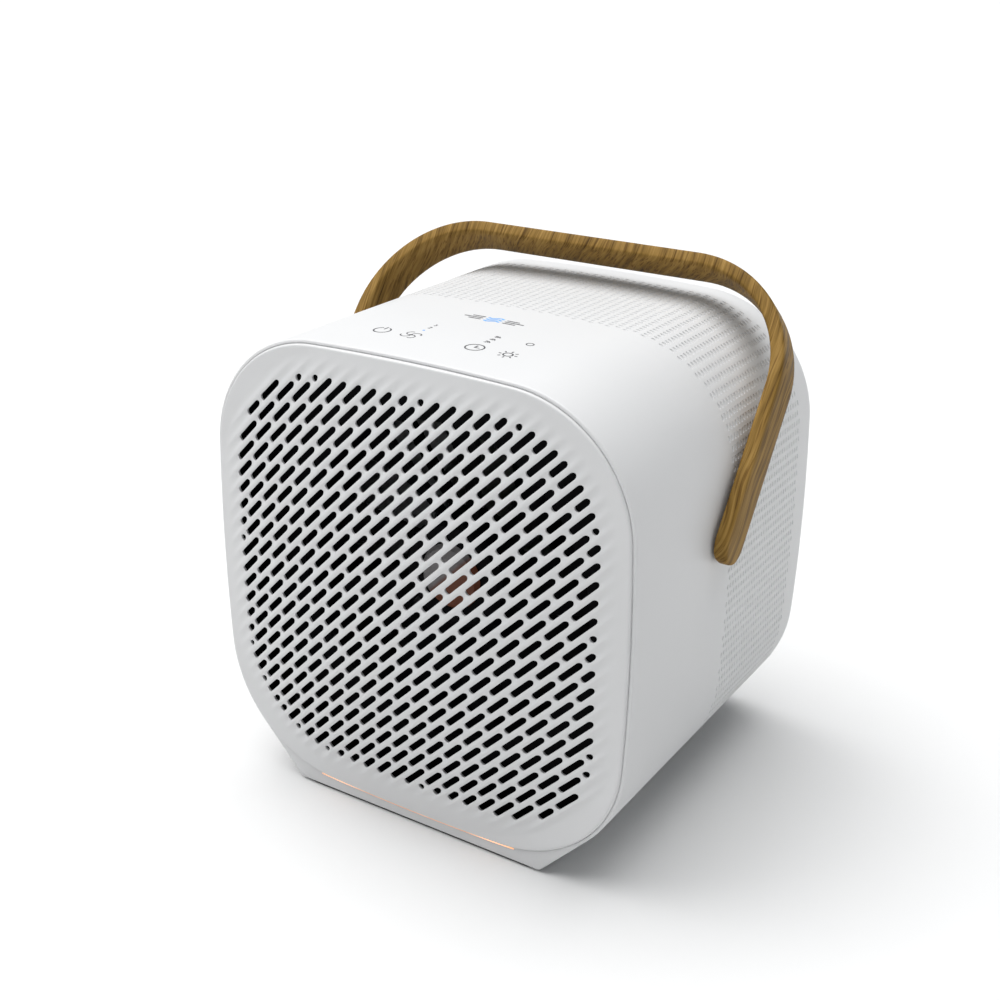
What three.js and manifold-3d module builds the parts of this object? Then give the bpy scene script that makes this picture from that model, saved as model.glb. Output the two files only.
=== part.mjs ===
// Desktop air purifier: a rounded white sleeve, a domed slotted outlet grille, a bail handle in
// wood, a fan on a brushless motor, a ring filter and a twist-off rear cover.
// Millimetres. X is to the right, Y to the back, Z up; the outlet grille faces -Y.
import * as THREE from "three";
import { mergeVertices } from "three/addons/utils/BufferGeometryUtils.js";
import Module from "manifold-3d";

const wasm = await Module();
wasm.setup();

// Driving dimensions.
const BODY_WIDTH = 200;
const BODY_HEIGHT = 206.7;
const BODY_DEPTH = 175.4; // sleeve only, front edge to rear wall
const DOME_RISE = 14.1; // grille's bulge in front of the sleeve
const PAD_HEIGHT = 1; // rubber base pad below the sleeve
const BASE_HALF_WIDTH = 62.05;
const WALL = 2.5;
const GAP = 0.3; // between pieces that touch
const REAR_FILLET = 13.5;

// Places that follow from them.
const FRONT_Y = DOME_RISE - (BODY_DEPTH + DOME_RISE) / 2; // sleeve's front edge
const REAR_Y = FRONT_Y + BODY_DEPTH;
const HALF_WIDTH = BODY_WIDTH / 2;
const HALF_HEIGHT = 101.59; // of the rounded square, whose foot is cut by the base
const AXIS_Z = PAD_HEIGHT + BODY_HEIGHT - HALF_HEIGHT; // fan, filter and cover share this axis

// Rounded square with slightly bowed sides.
const SIDE_BOW_RADIUS = 931.7;
const TOP_BOW_RADIUS = 1051.7;
const TOP_CORNER_RADIUS = 54.6;
const LOW_CORNER_RADIUS = 58.1;
const FINE = { corner: 6, bow: 2 }; // straight steps in each arc
const COARSE = { corner: 4, bow: 1 };
const ROUND = 32; // straight steps round a large ring

// Outlet grille.
const GRILLE_INSET = 1.67; // from the sleeve's outline
const GRILLE_THICK = 2.4;
const DOME_POWER = 2.5; // roundness of the dome's contour lines
const DOME_EDGE = 1.5; // height at the middle of an edge
const DOME_FLATTEN = 4; // quartic share of the dome's profile
const SLOT_WIDTH = 2.7;
const LANE_PITCH = 5.155; // across the 45 degree lanes
const SLOT_PITCH = 14.5; // along a lane
const SLOT_RUN = 3; // slots run together, and lanes left out, to keep the solid light
const LANE_STEP = 2;
const SLOT_START = 12.5;
const SLOT_FIELD_Z = 107.93;
const SLOT_FIELD_HALF = 85.6;
const SLOT_FIELD_CORNER = 45;

// Handle.
const HANDLE_THICK = 6.3;
const HANDLE_BREADTH = 19.1;
const HANDLE_REACH = 113.1; // pivot to the bar's centre line
const HANDLE_CORNER = 50;
const HANDLE_TOE_IN = 1;
const HANDLE_LEAN = 38.1; // degrees back from upright, at rest
const HANDLE_CLEARANCE = 0.68;
const HANDLE_X = HALF_WIDTH + HANDLE_CLEARANCE + HANDLE_THICK / 2;
const PIVOT_Y = -8.63;
const PIVOT_Z = 131.94;
const PIN_RADIUS = 2.5;

// Fan and motor.
const SHROUD_Y = -61;
const SHROUD_BORE = 70;
const SHROUD_LENGTH = 33;
const SKIRT_THICK = 1;
const DUCT_WALL = 3;
const CARRIER_Y = -28.7; // disc and struts that carry the motor
const STRUTS = 5;
const BLADE_COUNT = 9;
const HUB_RADIUS = 24;
const HUB_FACE_Y = -52;
const HUB_REAR_Y = -31;
const SHAFT_RADIUS = 1.5;

// Filter.
const BULKHEAD_Y = 2.5;
const FILTER_BORE = 50;
const FILTER_RADIUS = 66;
const FILTER_FRONT_Y = 8.5;
const FILTER_REAR_Y = 79;
const PLEATS = 32;
const PLEAT_DEPTH = 6;
const RING_THICK = 4; // the two black end rings of the filter
const RING_LIP = 4; // how far they reach past the pleats

// Rear cover.
const COVER_RADIUS = 80.6;
const COVER_SPIGOT = 75.5;
const COVER_TAB_TURN = 25; // degrees from locked to free
const COVER_SLOTS = [[32, 48, 16], [52, 69, 24]]; // inner and outer radius and count of each ring
const BOWL_RADIUS = 23.6; // finger bowl
const BAR_HALF = 3.5; // the grip bar across it

// Materials.
function finish(color, roughness, metalness = 0) {
  return new THREE.MeshStandardMaterial({ color, roughness, metalness });
}
const whitePlastic = finish(0xf1f1ef, 0.42);
const innerPlastic = finish(0xd9dadb, 0.55);
const blackPlastic = finish(0x17181a, 0.5);
const greyPlastic = finish(0x77777a, 0.45);
const wood = finish(0x8f6c3c, 0.5);
const rubber = finish(0x242424, 0.85);
const steel = finish(0xb4b6b8, 0.3, 1);
const brass = finish(0xc9a45c, 0.35, 1);
const copper = finish(0xa5562b, 0.35, 1);
const magnet = finish(0x3b3a3c, 0.5, 0.6);
const boardGreen = finish(0x1f5b38, 0.45);
const filterPaper = finish(0xf4f3ec, 0.9);
const foam = finish(0x3c3d3f, 0.95);
const meshCloth = finish(0x2a2c2e, 0.9);
const amberLens = finish(0xf6a25c, 0.3);

// Geometry helpers.
// One closed skin with shared corners, no slivers and its faces outwards.
function weld(geometry) {
  const plain = geometry.clone();
  plain.deleteAttribute("normal");
  plain.deleteAttribute("uv");
  const welded = mergeVertices(plain, 1e-4);
  const at = welded.attributes.position;
  const source = welded.index.array;
  const kept = [];
  let volume = 0;
  const a = new THREE.Vector3();
  const b = new THREE.Vector3();
  const c = new THREE.Vector3();
  for (let i = 0; i < source.length; i += 3) {
    const [p, q, r] = [source[i], source[i + 1], source[i + 2]];
    if (p === q || q === r || r === p) continue;
    kept.push(p, q, r);
    a.fromBufferAttribute(at, p);
    b.fromBufferAttribute(at, q);
    c.fromBufferAttribute(at, r);
    volume += a.dot(b.cross(c));
  }
  if (volume < 0) {
    for (let i = 0; i < kept.length; i += 3) [kept[i], kept[i + 1]] = [kept[i + 1], kept[i]];
  }
  welded.setIndex(kept);
  welded.computeVertexNormals();
  return welded;
}

function solidOf(geometry) {
  const welded = weld(geometry);
  return new wasm.Manifold(new wasm.Mesh({
    numProp: 3,
    vertProperties: new Float32Array(welded.attributes.position.array),
    triVerts: new Uint32Array(welded.index.array),
  }));
}

function geometryOf(solid) {
  const mesh = solid.getMesh();
  const geometry = new THREE.BufferGeometry();
  geometry.setAttribute("position", new THREE.BufferAttribute(mesh.vertProperties, 3));
  geometry.setIndex(new THREE.BufferAttribute(mesh.triVerts, 1));
  geometry.computeVertexNormals();
  return geometry;
}

function join(...parts) {
  return geometryOf(wasm.Manifold.union(parts.map(solidOf)));
}

function cut(body, ...tools) {
  return geometryOf(solidOf(body).subtract(wasm.Manifold.union(tools.map(solidOf))));
}

function common(a, b) {
  return geometryOf(solidOf(a).intersect(solidOf(b)));
}

// Box between two corners.
function box(x0, x1, y0, y1, z0, z1) {
  const geometry = new THREE.BoxGeometry(x1 - x0, y1 - y0, z1 - z0);
  geometry.translate((x0 + x1) / 2, (y0 + y1) / 2, (z0 + z1) / 2);
  return geometry;
}

// A closed outline of [x, z] points drawn out along Y, with an optional bevel at both ends.
function slab(points, y0, y1, bevel = 0, bevelSteps = 3) {
  const shape = new THREE.Shape(points.map(([x, z]) => new THREE.Vector2(x, z)));
  const geometry = new THREE.ExtrudeGeometry(shape, {
    depth: y1 - y0 - 2 * bevel,
    bevelEnabled: bevel > 0,
    bevelThickness: bevel,
    bevelSize: bevel,
    bevelOffset: -bevel,
    bevelSegments: bevelSteps,
  });
  geometry.rotateX(Math.PI / 2);
  geometry.translate(0, y1 - bevel, 0);
  return geometry;
}

// A turned piece about an axis along Y through x, z. The profile is [radius, y] points.
function turned(profile, x = 0, z = AXIS_Z, steps = 28) {
  const points = profile.map(([radius, y]) => new THREE.Vector2(radius, y));
  if (profile[0][0] > 0) points.push(points[0].clone());
  const geometry = new THREE.LatheGeometry(points, steps);
  geometry.translate(x, 0, z);
  return geometry;
}

function disc(radius, y0, y1, x = 0, z = AXIS_Z, steps = 28) {
  return turned([[0, y0], [radius, y0], [radius, y1], [0, y1]], x, z, steps);
}

function ring(inner, outer, y0, y1, x = 0, z = AXIS_Z, steps = 28) {
  return turned([[inner, y0], [outer, y0], [outer, y1], [inner, y1]], x, z, steps);
}

// The same shapes about an axis along X through y, z.
function aboutX(geometry, y, z) {
  geometry.rotateZ(-Math.PI / 2);
  geometry.translate(0, y, z);
  return geometry;
}

function rodX(radius, x0, x1, y, z, steps = 16) {
  return aboutX(disc(radius, x0, x1, 0, 0, steps), y, z);
}

function mirrorX(geometry) {
  const copy = geometry.clone();
  copy.scale(-1, 1, 1);
  return weld(copy);
}

// The outline.
// Centre of the circle of radius r that touches a side bow and a top or bottom bow from inside.
function cornerCentre(radius) {
  const sideX = HALF_WIDTH - SIDE_BOW_RADIUS;
  const bowZ = HALF_HEIGHT - TOP_BOW_RADIUS;
  const fromSide = SIDE_BOW_RADIUS - radius;
  const fromBow = TOP_BOW_RADIUS - radius;
  const span = Math.hypot(sideX, bowZ);
  const along = (fromSide ** 2 - fromBow ** 2 + span ** 2) / (2 * span);
  const across = Math.sqrt(fromSide ** 2 - along ** 2);
  const ux = -sideX / span;
  const uz = bowZ / span;
  return [sideX + along * ux - across * uz, along * uz + across * ux];
}

function arc(cx, cz, radius, from, to, steps) {
  const points = [];
  for (let i = 0; i <= steps; i++) {
    const angle = from + (to - from) * i / steps;
    points.push([cx + radius * Math.cos(angle), cz + radius * Math.sin(angle)]);
  }
  return points;
}

// Right half from the lowest point to the top, about the axis, moved inwards by inset.
// With a base, the low corner runs off along a straight foot to the flat base.
function rightHalf(inset, hasBase, steps) {
  const [topX, topZ] = cornerCentre(TOP_CORNER_RADIUS);
  const [lowX, lowUp] = cornerCentre(LOW_CORNER_RADIUS);
  const lowZ = -lowUp;
  const sideX = HALF_WIDTH - SIDE_BOW_RADIUS;
  const bowZ = HALF_HEIGHT - TOP_BOW_RADIUS;
  const sideLow = Math.atan2(lowZ, lowX - sideX);
  const sideHigh = Math.atan2(topZ, topX - sideX);
  const topTurn = Math.atan2(topZ - bowZ, topX);
  const lowTurn = -Math.atan2(lowUp - bowZ, lowX);
  const points = [];
  if (hasBase) {
    const baseZ = PAD_HEIGHT - AXIS_Z;
    const toCentre = Math.atan2(lowZ - baseZ, lowX - BASE_HALF_WIDTH);
    const distance = Math.hypot(lowZ - baseZ, lowX - BASE_HALF_WIDTH);
    const footAngle = toCentre - Math.asin(LOW_CORNER_RADIUS / distance);
    const out = footAngle - Math.PI / 2;
    const reach = BASE_HALF_WIDTH * Math.cos(out) + baseZ * Math.sin(out) - inset;
    const z = baseZ + inset;
    points.push([(reach - z * Math.sin(out)) / Math.cos(out), z]);
    points.push(...arc(lowX, lowZ, LOW_CORNER_RADIUS - inset, out, sideLow, steps.corner));
  } else {
    points.push(...arc(0, -bowZ, TOP_BOW_RADIUS - inset, -Math.PI / 2, lowTurn, steps.bow));
    points.push(...arc(lowX, lowZ, LOW_CORNER_RADIUS - inset, lowTurn, sideLow, steps.corner).slice(1));
  }
  points.push(...arc(sideX, 0, SIDE_BOW_RADIUS - inset, sideLow, sideHigh, steps.bow).slice(1));
  points.push(...arc(topX, topZ, TOP_CORNER_RADIUS - inset, sideHigh, topTurn, steps.corner).slice(1));
  points.push(...arc(0, bowZ, TOP_BOW_RADIUS - inset, topTurn, Math.PI / 2, steps.bow).slice(1));
  return points;
}

function outline(inset, hasBase, steps = FINE) {
  const right = rightHalf(inset, hasBase, steps);
  const left = right.slice(hasBase ? 0 : 1, -1).reverse().map(([x, z]) => [-x, z]);
  return [...right, ...left].map(([x, z]) => [x, z + AXIS_Z]);
}

// Sleeve.
const BOSS_SPOTS = [];
for (const side of [-1, 1]) {
  for (const [radius, up] of [[TOP_CORNER_RADIUS, 1], [LOW_CORNER_RADIUS, -1]]) {
    const [x, z] = cornerCentre(radius);
    const reach = (radius - WALL - 5) * Math.SQRT1_2;
    BOSS_SPOTS.push([side * (x + reach), AXIS_Z + up * (z + reach)]);
  }
}
const BOSS_RADIUS = 6;
const SCREW_RADIUS = 1.5;
const SHROUD_PLATE = 2.4;
const BULKHEAD_PLATE = 2.5;
const JACK_X = 66;
const JACK_Z = 36;
const LIGHT_HALF = 50;
const PAD_RECESS = 0.8;
const STANDOFF_SPOTS = [[-42, 14], [42, 14], [-42, 62], [42, 62]];

function sleeve() {
  const far = 40;
  const keep = box(-150, 150, FRONT_Y, REAR_Y + 1, -10, 300);
  const outer = common(slab(outline(0, true), FRONT_Y - far, REAR_Y, REAR_FILLET), keep);
  const roomKeep = box(-150, 150, FRONT_Y + WALL, REAR_Y, -10, 300);
  const inside = slab(outline(WALL, true), FRONT_Y - far, REAR_Y - WALL, REAR_FILLET - WALL);
  const room = common(inside, roomKeep);
  const mouth = slab(outline(4.5, false), FRONT_Y - 1, FRONT_Y + WALL + 1);
  const shell = cut(outer, room, mouth);

  const rims = [ring(76, 86, 87.5, REAR_Y - WALL + 0.2)];
  for (const [x, z] of BOSS_SPOTS) {
    rims.push(disc(BOSS_RADIUS, SHROUD_Y + SHROUD_PLATE + GAP, -40, x, z, 16));
    rims.push(disc(BOSS_RADIUS, BULKHEAD_Y + BULKHEAD_PLATE + GAP, BULKHEAD_Y + 20, x, z, 16));
  }
  for (const [x, y] of STANDOFF_SPOTS) rims.push(standing(3, x, y, PAD_HEIGHT + WALL - 0.5, 8.7));
  const tools = [
    disc(76, 80, REAR_Y + 5),
    disc(COVER_RADIUS + 0.4, REAR_Y - 1.7, REAR_Y + 5, 0, AXIS_Z, 32),
    disc(4.6, REAR_Y - 10, REAR_Y + 5, JACK_X, JACK_Z, 16),
    padOutline(-GAP, PAD_HEIGHT - 1, PAD_HEIGHT + PAD_RECESS),
    lightBand(0.15, 1.8, LIGHT_HALF + GAP, FRONT_Y - 1, FRONT_Y + WALL + 1),
  ];
  for (let i = 0; i < 3; i++) {
    const notch = box(-16, 16, 80, REAR_Y - 1, 70, 79.6);
    notch.rotateY(THREE.MathUtils.degToRad(120 * i + COVER_TAB_TURN));
    notch.translate(0, 0, AXIS_Z);
    tools.push(notch);
  }
  for (const [x, z] of BOSS_SPOTS) {
    tools.push(disc(SCREW_RADIUS + GAP, SHROUD_Y - 1, -46, x, z, 8));
    tools.push(disc(SCREW_RADIUS + GAP, BULKHEAD_Y - 1, BULKHEAD_Y + 15, x, z, 8));
  }
  for (const side of [-1, 1]) {
    tools.push(rodX(PIN_RADIUS + 2.4, side * 110, side * 90, PIVOT_Y, PIVOT_Z));
  }
  return cut(join(shell, ...rims), ...tools);
}

function padOutline(inset, z0, z1) {
  const half = BASE_HALF_WIDTH - 2.5 - inset;
  const y0 = FRONT_Y + 1.2 + inset;
  const y1 = REAR_Y - REAR_FILLET - 1 - inset;
  const corner = 5 - inset;
  const shape = new THREE.Shape();
  shape.moveTo(-half + corner, y0);
  shape.absarc(half - corner, y0 + corner, corner, -Math.PI / 2, 0);
  shape.absarc(half - corner, y1 - corner, corner, 0, Math.PI / 2);
  shape.absarc(-half + corner, y1 - corner, corner, Math.PI / 2, Math.PI);
  shape.absarc(-half + corner, y0 + corner, corner, Math.PI, 1.5 * Math.PI);
  const options = { depth: z1 - z0, bevelEnabled: false, curveSegments: 3 };
  const geometry = new THREE.ExtrudeGeometry(shape, options);
  geometry.translate(0, 0, z0);
  return geometry;
}

// A thin bowed strip along the bottom edge, between two insets of the sleeve's outline.
function lightBand(insetOut, insetIn, half, y0, y1) {
  const band = cut(slab(outline(insetOut, false), y0, y1), slab(outline(insetIn, false), y0 - 1, y1 + 1));
  return common(band, box(-half, half, y0 - 1, y1 + 1, 0, 30));
}

// Grille.
// Height of the dome in front of the sleeve's front edge at x, z.
function domeHeight(x, z) {
  const reach = HALF_WIDTH - GRILLE_INSET;
  const up = z - SLOT_FIELD_Z;
  const far = (Math.abs(x) ** DOME_POWER + Math.abs(up) ** DOME_POWER) ** (1 / DOME_POWER) / reach;
  const drop = (DOME_RISE - DOME_EDGE + DOME_FLATTEN) * far ** 2 - DOME_FLATTEN * far ** 4;
  return Math.max(DOME_RISE - drop, 1.1);
}

// A lens between the dome and a flat back, drawn as rings that shrink from the outline.
function domeSolid(inset, sink, backY) {
  const shares = [1, 1, 0.97, 0.68, 0];
  const rim = outline(GRILLE_INSET + inset, false, COARSE);
  const centre = AXIS_Z;
  const profile = shares.map((share, i) => new THREE.Vector2(share, i));
  profile.unshift(new THREE.Vector2(0, -1));
  const geometry = new THREE.LatheGeometry(profile, rim.length);
  const at = geometry.attributes.position;
  const rows = profile.length;
  for (let i = 0; i < at.count; i++) {
    const row = i % rows;
    const spoke = Math.floor(i / rows) % rim.length;
    const share = profile[row].x;
    const x = rim[spoke][0] * share;
    const z = centre + (rim[spoke][1] - centre) * share;
    let y = backY;
    if (row === 2) y = FRONT_Y + sink - GAP;
    if (row > 2) y = FRONT_Y - domeHeight(x, z) + sink;
    at.setXYZ(i, x, y, z);
  }
  return geometry;
}

// Slots of every lane, run together. Lanes mirror about the rising diagonal.
function slotCutters() {
  const cutters = [];
  const length = SLOT_RUN * SLOT_PITCH - 3.1;
  const lanes = Math.ceil(110 / LANE_PITCH);
  for (let lane = 0; lane < lanes; lane += LANE_STEP) {
    const across = (lane + 0.5) * LANE_PITCH;
    const shift = SLOT_START + (lane / LANE_STEP % 2) * SLOT_RUN / 2 * SLOT_PITCH;
    for (let n = -4; n <= 4; n++) {
      const along = shift + SLOT_RUN * n * SLOT_PITCH;
      for (const side of [-1, 1]) {
        const x = (along + side * across) * Math.SQRT1_2;
        const z = (along - side * across) * Math.SQRT1_2;
        if (!nearField(x, z)) continue;
        const slot = box(-length / 2, length / 2, -130, FRONT_Y + 8, -SLOT_WIDTH / 2, SLOT_WIDTH / 2);
        slot.rotateY(-Math.PI / 4);
        slot.translate(x, 0, z + SLOT_FIELD_Z);
        cutters.push(solidOf(slot));
      }
    }
  }
  return wasm.Manifold.union(cutters);
}

// True when a slot centred here leaves a useful opening inside the field.
function nearField(x, z) {
  const core = SLOT_FIELD_HALF - SLOT_FIELD_CORNER;
  const reach = Math.hypot(Math.max(Math.abs(x) - core, 0), Math.max(Math.abs(z) - core, 0));
  return reach < SLOT_FIELD_CORNER + 5;
}

function slotField() {
  const half = SLOT_FIELD_HALF;
  const core = half - SLOT_FIELD_CORNER;
  const points = [];
  [[1, -1], [1, 1], [-1, 1], [-1, -1]].forEach(([sx, sz], i) => {
    const from = (i - 1) * Math.PI / 2;
    points.push(...arc(sx * core, sz * core + SLOT_FIELD_Z, SLOT_FIELD_CORNER, from, from + Math.PI / 2, 8));
  });
  return slab(points, -130, FRONT_Y + 8);
}

function grille() {
  const back = FRONT_Y + 3.5;
  const outer = solidOf(domeSolid(0, 0, FRONT_Y - GAP));
  const plug = solidOf(slab(outline(5, false, COARSE), FRONT_Y - 0.6, back));
  const hollow = solidOf(domeSolid(5.4, GRILLE_THICK, back + 1));
  const slots = slotCutters().intersect(solidOf(slotField()));
  return geometryOf(outer.add(plug).subtract(hollow).subtract(slots));
}

// Handle.
// Drawn upright about its pivot line, then leaned back by its group.
function handle() {
  const half = HANDLE_THICK / 2;
  const legTop = HANDLE_REACH - HANDLE_CORNER;
  const topX = HANDLE_X - HANDLE_TOE_IN;
  const low = -HANDLE_BREADTH / 2 - 1;
  const bendX = topX - HANDLE_CORNER;
  const outer = HANDLE_CORNER + half;
  const inner = HANDLE_CORNER - half;
  const shape = new THREE.Shape();
  shape.moveTo(HANDLE_X + half, low);
  shape.lineTo(HANDLE_X + half, 0);
  shape.absarc(bendX, legTop, outer, 0, Math.PI / 2);
  shape.absarc(-bendX, legTop, outer, Math.PI / 2, Math.PI);
  shape.lineTo(-HANDLE_X - half, 0);
  shape.lineTo(-HANDLE_X - half, low);
  shape.lineTo(-HANDLE_X + half, low);
  shape.lineTo(-HANDLE_X + half, 0);
  shape.absarc(-bendX, legTop, inner, Math.PI, Math.PI / 2, true);
  shape.absarc(bendX, legTop, inner, Math.PI / 2, 0, true);
  shape.lineTo(HANDLE_X - half, 0);
  shape.lineTo(HANDLE_X - half, low);
  const round = 1.8;
  const bail = new THREE.ExtrudeGeometry(shape, {
    depth: HANDLE_BREADTH - 2 * round,
    bevelThickness: round,
    bevelSize: round,
    bevelOffset: -round,
    bevelSegments: 2,
    curveSegments: 6,
  });
  bail.rotateX(Math.PI / 2);
  bail.translate(0, HANDLE_BREADTH / 2 - round, 0);

  const ends = new THREE.Shape();
  ends.absarc(0, 0, HANDLE_BREADTH / 2, Math.PI, 2 * Math.PI);
  ends.lineTo(HANDLE_BREADTH / 2 + 1, HANDLE_REACH + 20);
  ends.lineTo(-HANDLE_BREADTH / 2 - 1, HANDLE_REACH + 20);
  const stadium = new THREE.ExtrudeGeometry(ends, { depth: 240, bevelEnabled: false, curveSegments: 8 });
  stadium.rotateX(Math.PI / 2);
  stadium.rotateZ(Math.PI / 2);
  stadium.translate(-120, 0, 0);
  const tools = [-1, 1].map((side) => rodX(PIN_RADIUS + GAP, side * 99, side * 105, 0, 0));
  return cut(common(bail, stadium), ...tools);
}

function pivotPin() {
  return join(rodX(PIN_RADIUS, 91.6, 104.4, 0, 0, 12), rodX(PIN_RADIUS - 0.7, 89, 91.7, 0, 0, 12),
    rodX(PIN_RADIUS, 87.6, 89.1, 0, 0, 12));
}

function pivotClip() {
  const washer = aboutX(ring(PIN_RADIUS - 0.7 + GAP, 6, 89.4, 90.6, 0, 0, 16), 0, 0);
  return cut(washer, box(89, 91, -1.7, 1.7, 0, 10));
}

function pivotBush() {
  const profile = [[PIN_RADIUS + GAP, 92.2], [9, 92.2], [9, 96.4], [PIN_RADIUS + 2, 96.4],
    [PIN_RADIUS + 2, 100.2], [PIN_RADIUS + GAP, 100.2]];
  return aboutX(turned(profile, 0, 0, 20), PIVOT_Y, PIVOT_Z);
}

// Fan.
const BLADE = {
  tip: 68.5,
  thick: 1.6,
  camber: 3,
  rootPitch: 52, // degrees, from the turning plane
  pitchFall: 26,
  rootChord: 19,
  chordGrowth: 17,
  sweep: 0.25, // radians, root to tip
  middleY: -42.5,
};

// Blade angle falls from root to tip; each blade is a thin twisted plate.
function blade(index) {
  const root = HUB_RADIUS - 1.5;
  const geometry = new THREE.BoxGeometry(1, 1, 1, 4, 1, 2);
  const at = geometry.attributes.position;
  for (let i = 0; i < at.count; i++) {
    const out = at.getX(i) + 0.5;
    const chord = at.getZ(i);
    const radius = root + (BLADE.tip - root) * out;
    const pitch = THREE.MathUtils.degToRad(BLADE.rootPitch - BLADE.pitchFall * out);
    const length = BLADE.rootChord + BLADE.chordGrowth * out;
    const lift = at.getY(i) * BLADE.thick + BLADE.camber * (1 - 4 * chord * chord);
    const across = chord * length * Math.cos(pitch) - lift * Math.sin(pitch);
    const deep = chord * length * Math.sin(pitch) + lift * Math.cos(pitch);
    const turn = across / radius + BLADE.sweep * out;
    at.setXYZ(i, radius * Math.cos(turn), deep + BLADE.middleY, radius * Math.sin(turn));
  }
  geometry.rotateY(index * 2 * Math.PI / BLADE_COUNT);
  geometry.translate(0, 0, AXIS_Z);
  return geometry;
}

function impeller() {
  const hole = SHAFT_RADIUS + GAP;
  const inside = HUB_RADIUS - 2.2;
  const cup = turned([[hole, HUB_FACE_Y], [HUB_RADIUS - 2, HUB_FACE_Y], [HUB_RADIUS, HUB_FACE_Y + 2],
    [HUB_RADIUS, HUB_REAR_Y], [inside, HUB_REAR_Y], [inside, HUB_FACE_Y + 2.4], [hole, HUB_FACE_Y + 2.4]],
  0, AXIS_Z, 36);
  const blades = [];
  for (let i = 0; i < BLADE_COUNT; i++) blades.push(blade(i));
  const trimmed = common(join(...blades), ring(HUB_RADIUS - 1.8, 69, -60, -25, 0, AXIS_Z, 36));
  return join(cup, trimmed);
}

function hubCap() {
  return turned([[0, -56], [9, -55.6], [12.8, -54.4], [14.4, -52.4], [14.4, HUB_FACE_Y - GAP],
    [0, HUB_FACE_Y - GAP]]);
}

function rotorBell() {
  return turned([[SHAFT_RADIUS + GAP, -49.3], [21.4, -49.3], [21.4, -32], [20, -32], [20, -48],
    [SHAFT_RADIUS + GAP, -48]]);
}

// One tooth as [angle in radians, radius], from its root round its shoe and back.
const STATOR_TOOTH = [[-0.2, 8], [-0.1, 15], [-0.27, 15.2], [-0.3, 16.6], [0, 16.8], [0.3, 16.6],
  [0.27, 15.2], [0.1, 15], [0.2, 8]];
const TEETH = 9;

function statorCore() {
  const points = [];
  for (let i = 0; i < TEETH; i++) {
    const middle = i * 2 * Math.PI / TEETH;
    for (const [turn, radius] of STATOR_TOOTH) {
      points.push([radius * Math.cos(middle + turn), AXIS_Z + radius * Math.sin(middle + turn)]);
    }
  }
  return cut(slab(points, -45, -36), disc(5.4, -50, -30, 0, AXIS_Z, 20));
}

// Nine coils, tied at the front by the ring that carries their leads.
function statorWinding() {
  const coils = [ring(8.3, 9.6, -46.6, -45.3, 0, AXIS_Z, 27)];
  for (let i = 0; i < TEETH; i++) {
    const coil = cut(box(9, 14.6, -46.6, -34.4, -2.3, 2.3), box(8, 15.5, -45.3, -35.7, -1.95, 1.95));
    coil.rotateY(-i * 2 * Math.PI / TEETH);
    coil.translate(0, 0, AXIS_Z);
    coils.push(coil);
  }
  return join(...coils);
}

function motorBase() {
  const profile = [[3.2, -46.5], [5.1, -46.5], [5.1, -31.2], [18, -31.2], [18, -29], [3.2, -29]];
  return turned(profile, 0, AXIS_Z, 24);
}

function driverBoard() {
  return ring(5.5, 16, -33.4, -32, 0, AXIS_Z, 24);
}

function bearing(y) {
  return ring(SHAFT_RADIUS + 0.25, 2.9, y, y + 3, 0, AXIS_Z, 16);
}

// The duct, its flange, a skirt that runs forward inside the sleeve, and the motor's carrier.
function shroud() {
  const rim = WALL + 0.5;
  const skirtFront = FRONT_Y + WALL + 0.6;
  const bore = disc(SHROUD_BORE + 1.5, SHROUD_Y - 1, SHROUD_Y + 5, 0, AXIS_Z, ROUND);
  const plate = cut(slab(outline(rim, true), SHROUD_Y, SHROUD_Y + SHROUD_PLATE), bore);
  const skirt = cut(slab(outline(rim, true), skirtFront, SHROUD_Y + 1),
    slab(outline(rim + SKIRT_THICK, true), skirtFront - 1, SHROUD_Y + 2),
    box(-LIGHT_HALF - 2, LIGHT_HALF + 2, skirtFront - 1, SHROUD_Y - 4, 0, 14));
  const ductEnd = SHROUD_Y + SHROUD_LENGTH;
  const duct = ring(SHROUD_BORE, SHROUD_BORE + DUCT_WALL, SHROUD_Y + 1, ductEnd, 0, AXIS_Z, ROUND);
  const carrier = disc(20, CARRIER_Y, CARRIER_Y + 2.7, 0, AXIS_Z, 24);
  const struts = [];
  for (let i = 0; i < STRUTS; i++) {
    const strut = box(18, SHROUD_BORE + 1, CARRIER_Y - 0.1, CARRIER_Y + 2.7, -2.5, 2.5);
    strut.rotateY((i * 2 + 0.5) * Math.PI / STRUTS);
    strut.translate(0, 0, AXIS_Z);
    struts.push(strut);
  }
  const holes = BOSS_SPOTS.map(([x, z]) => disc(SCREW_RADIUS + GAP, SHROUD_Y - 1, SHROUD_Y + 5, x, z, 8));
  return cut(join(plate, skirt, duct, carrier, ...struts), ...holes, disc(4, -30, -20, 0, AXIS_Z, 12));
}

function screw(y, [x, z]) {
  return turned([[0, y - 2.3], [2.6, y - 2.3], [3.2, y - 1.4], [3.2, y - GAP],
    [SCREW_RADIUS, y - GAP], [SCREW_RADIUS, y + 10], [0, y + 11]], x, z, 8);
}

// Filter.
function bulkhead() {
  const plate = slab(outline(WALL + 0.5, true), BULKHEAD_Y, BULKHEAD_Y + BULKHEAD_PLATE);
  const collar = ring(FILTER_BORE - 4, FILTER_BORE - 2, BULKHEAD_Y + 1, FILTER_FRONT_Y + 6, 0, AXIS_Z, ROUND);
  const tools = BOSS_SPOTS.map(([x, z]) => disc(SCREW_RADIUS + GAP, BULKHEAD_Y - 1, BULKHEAD_Y + 5, x, z, 8));
  tools.push(disc(FILTER_BORE - 3, BULKHEAD_Y - 1, BULKHEAD_Y + 5, 0, AXIS_Z, ROUND));
  return join(cut(plate, ...tools), collar);
}

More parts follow.
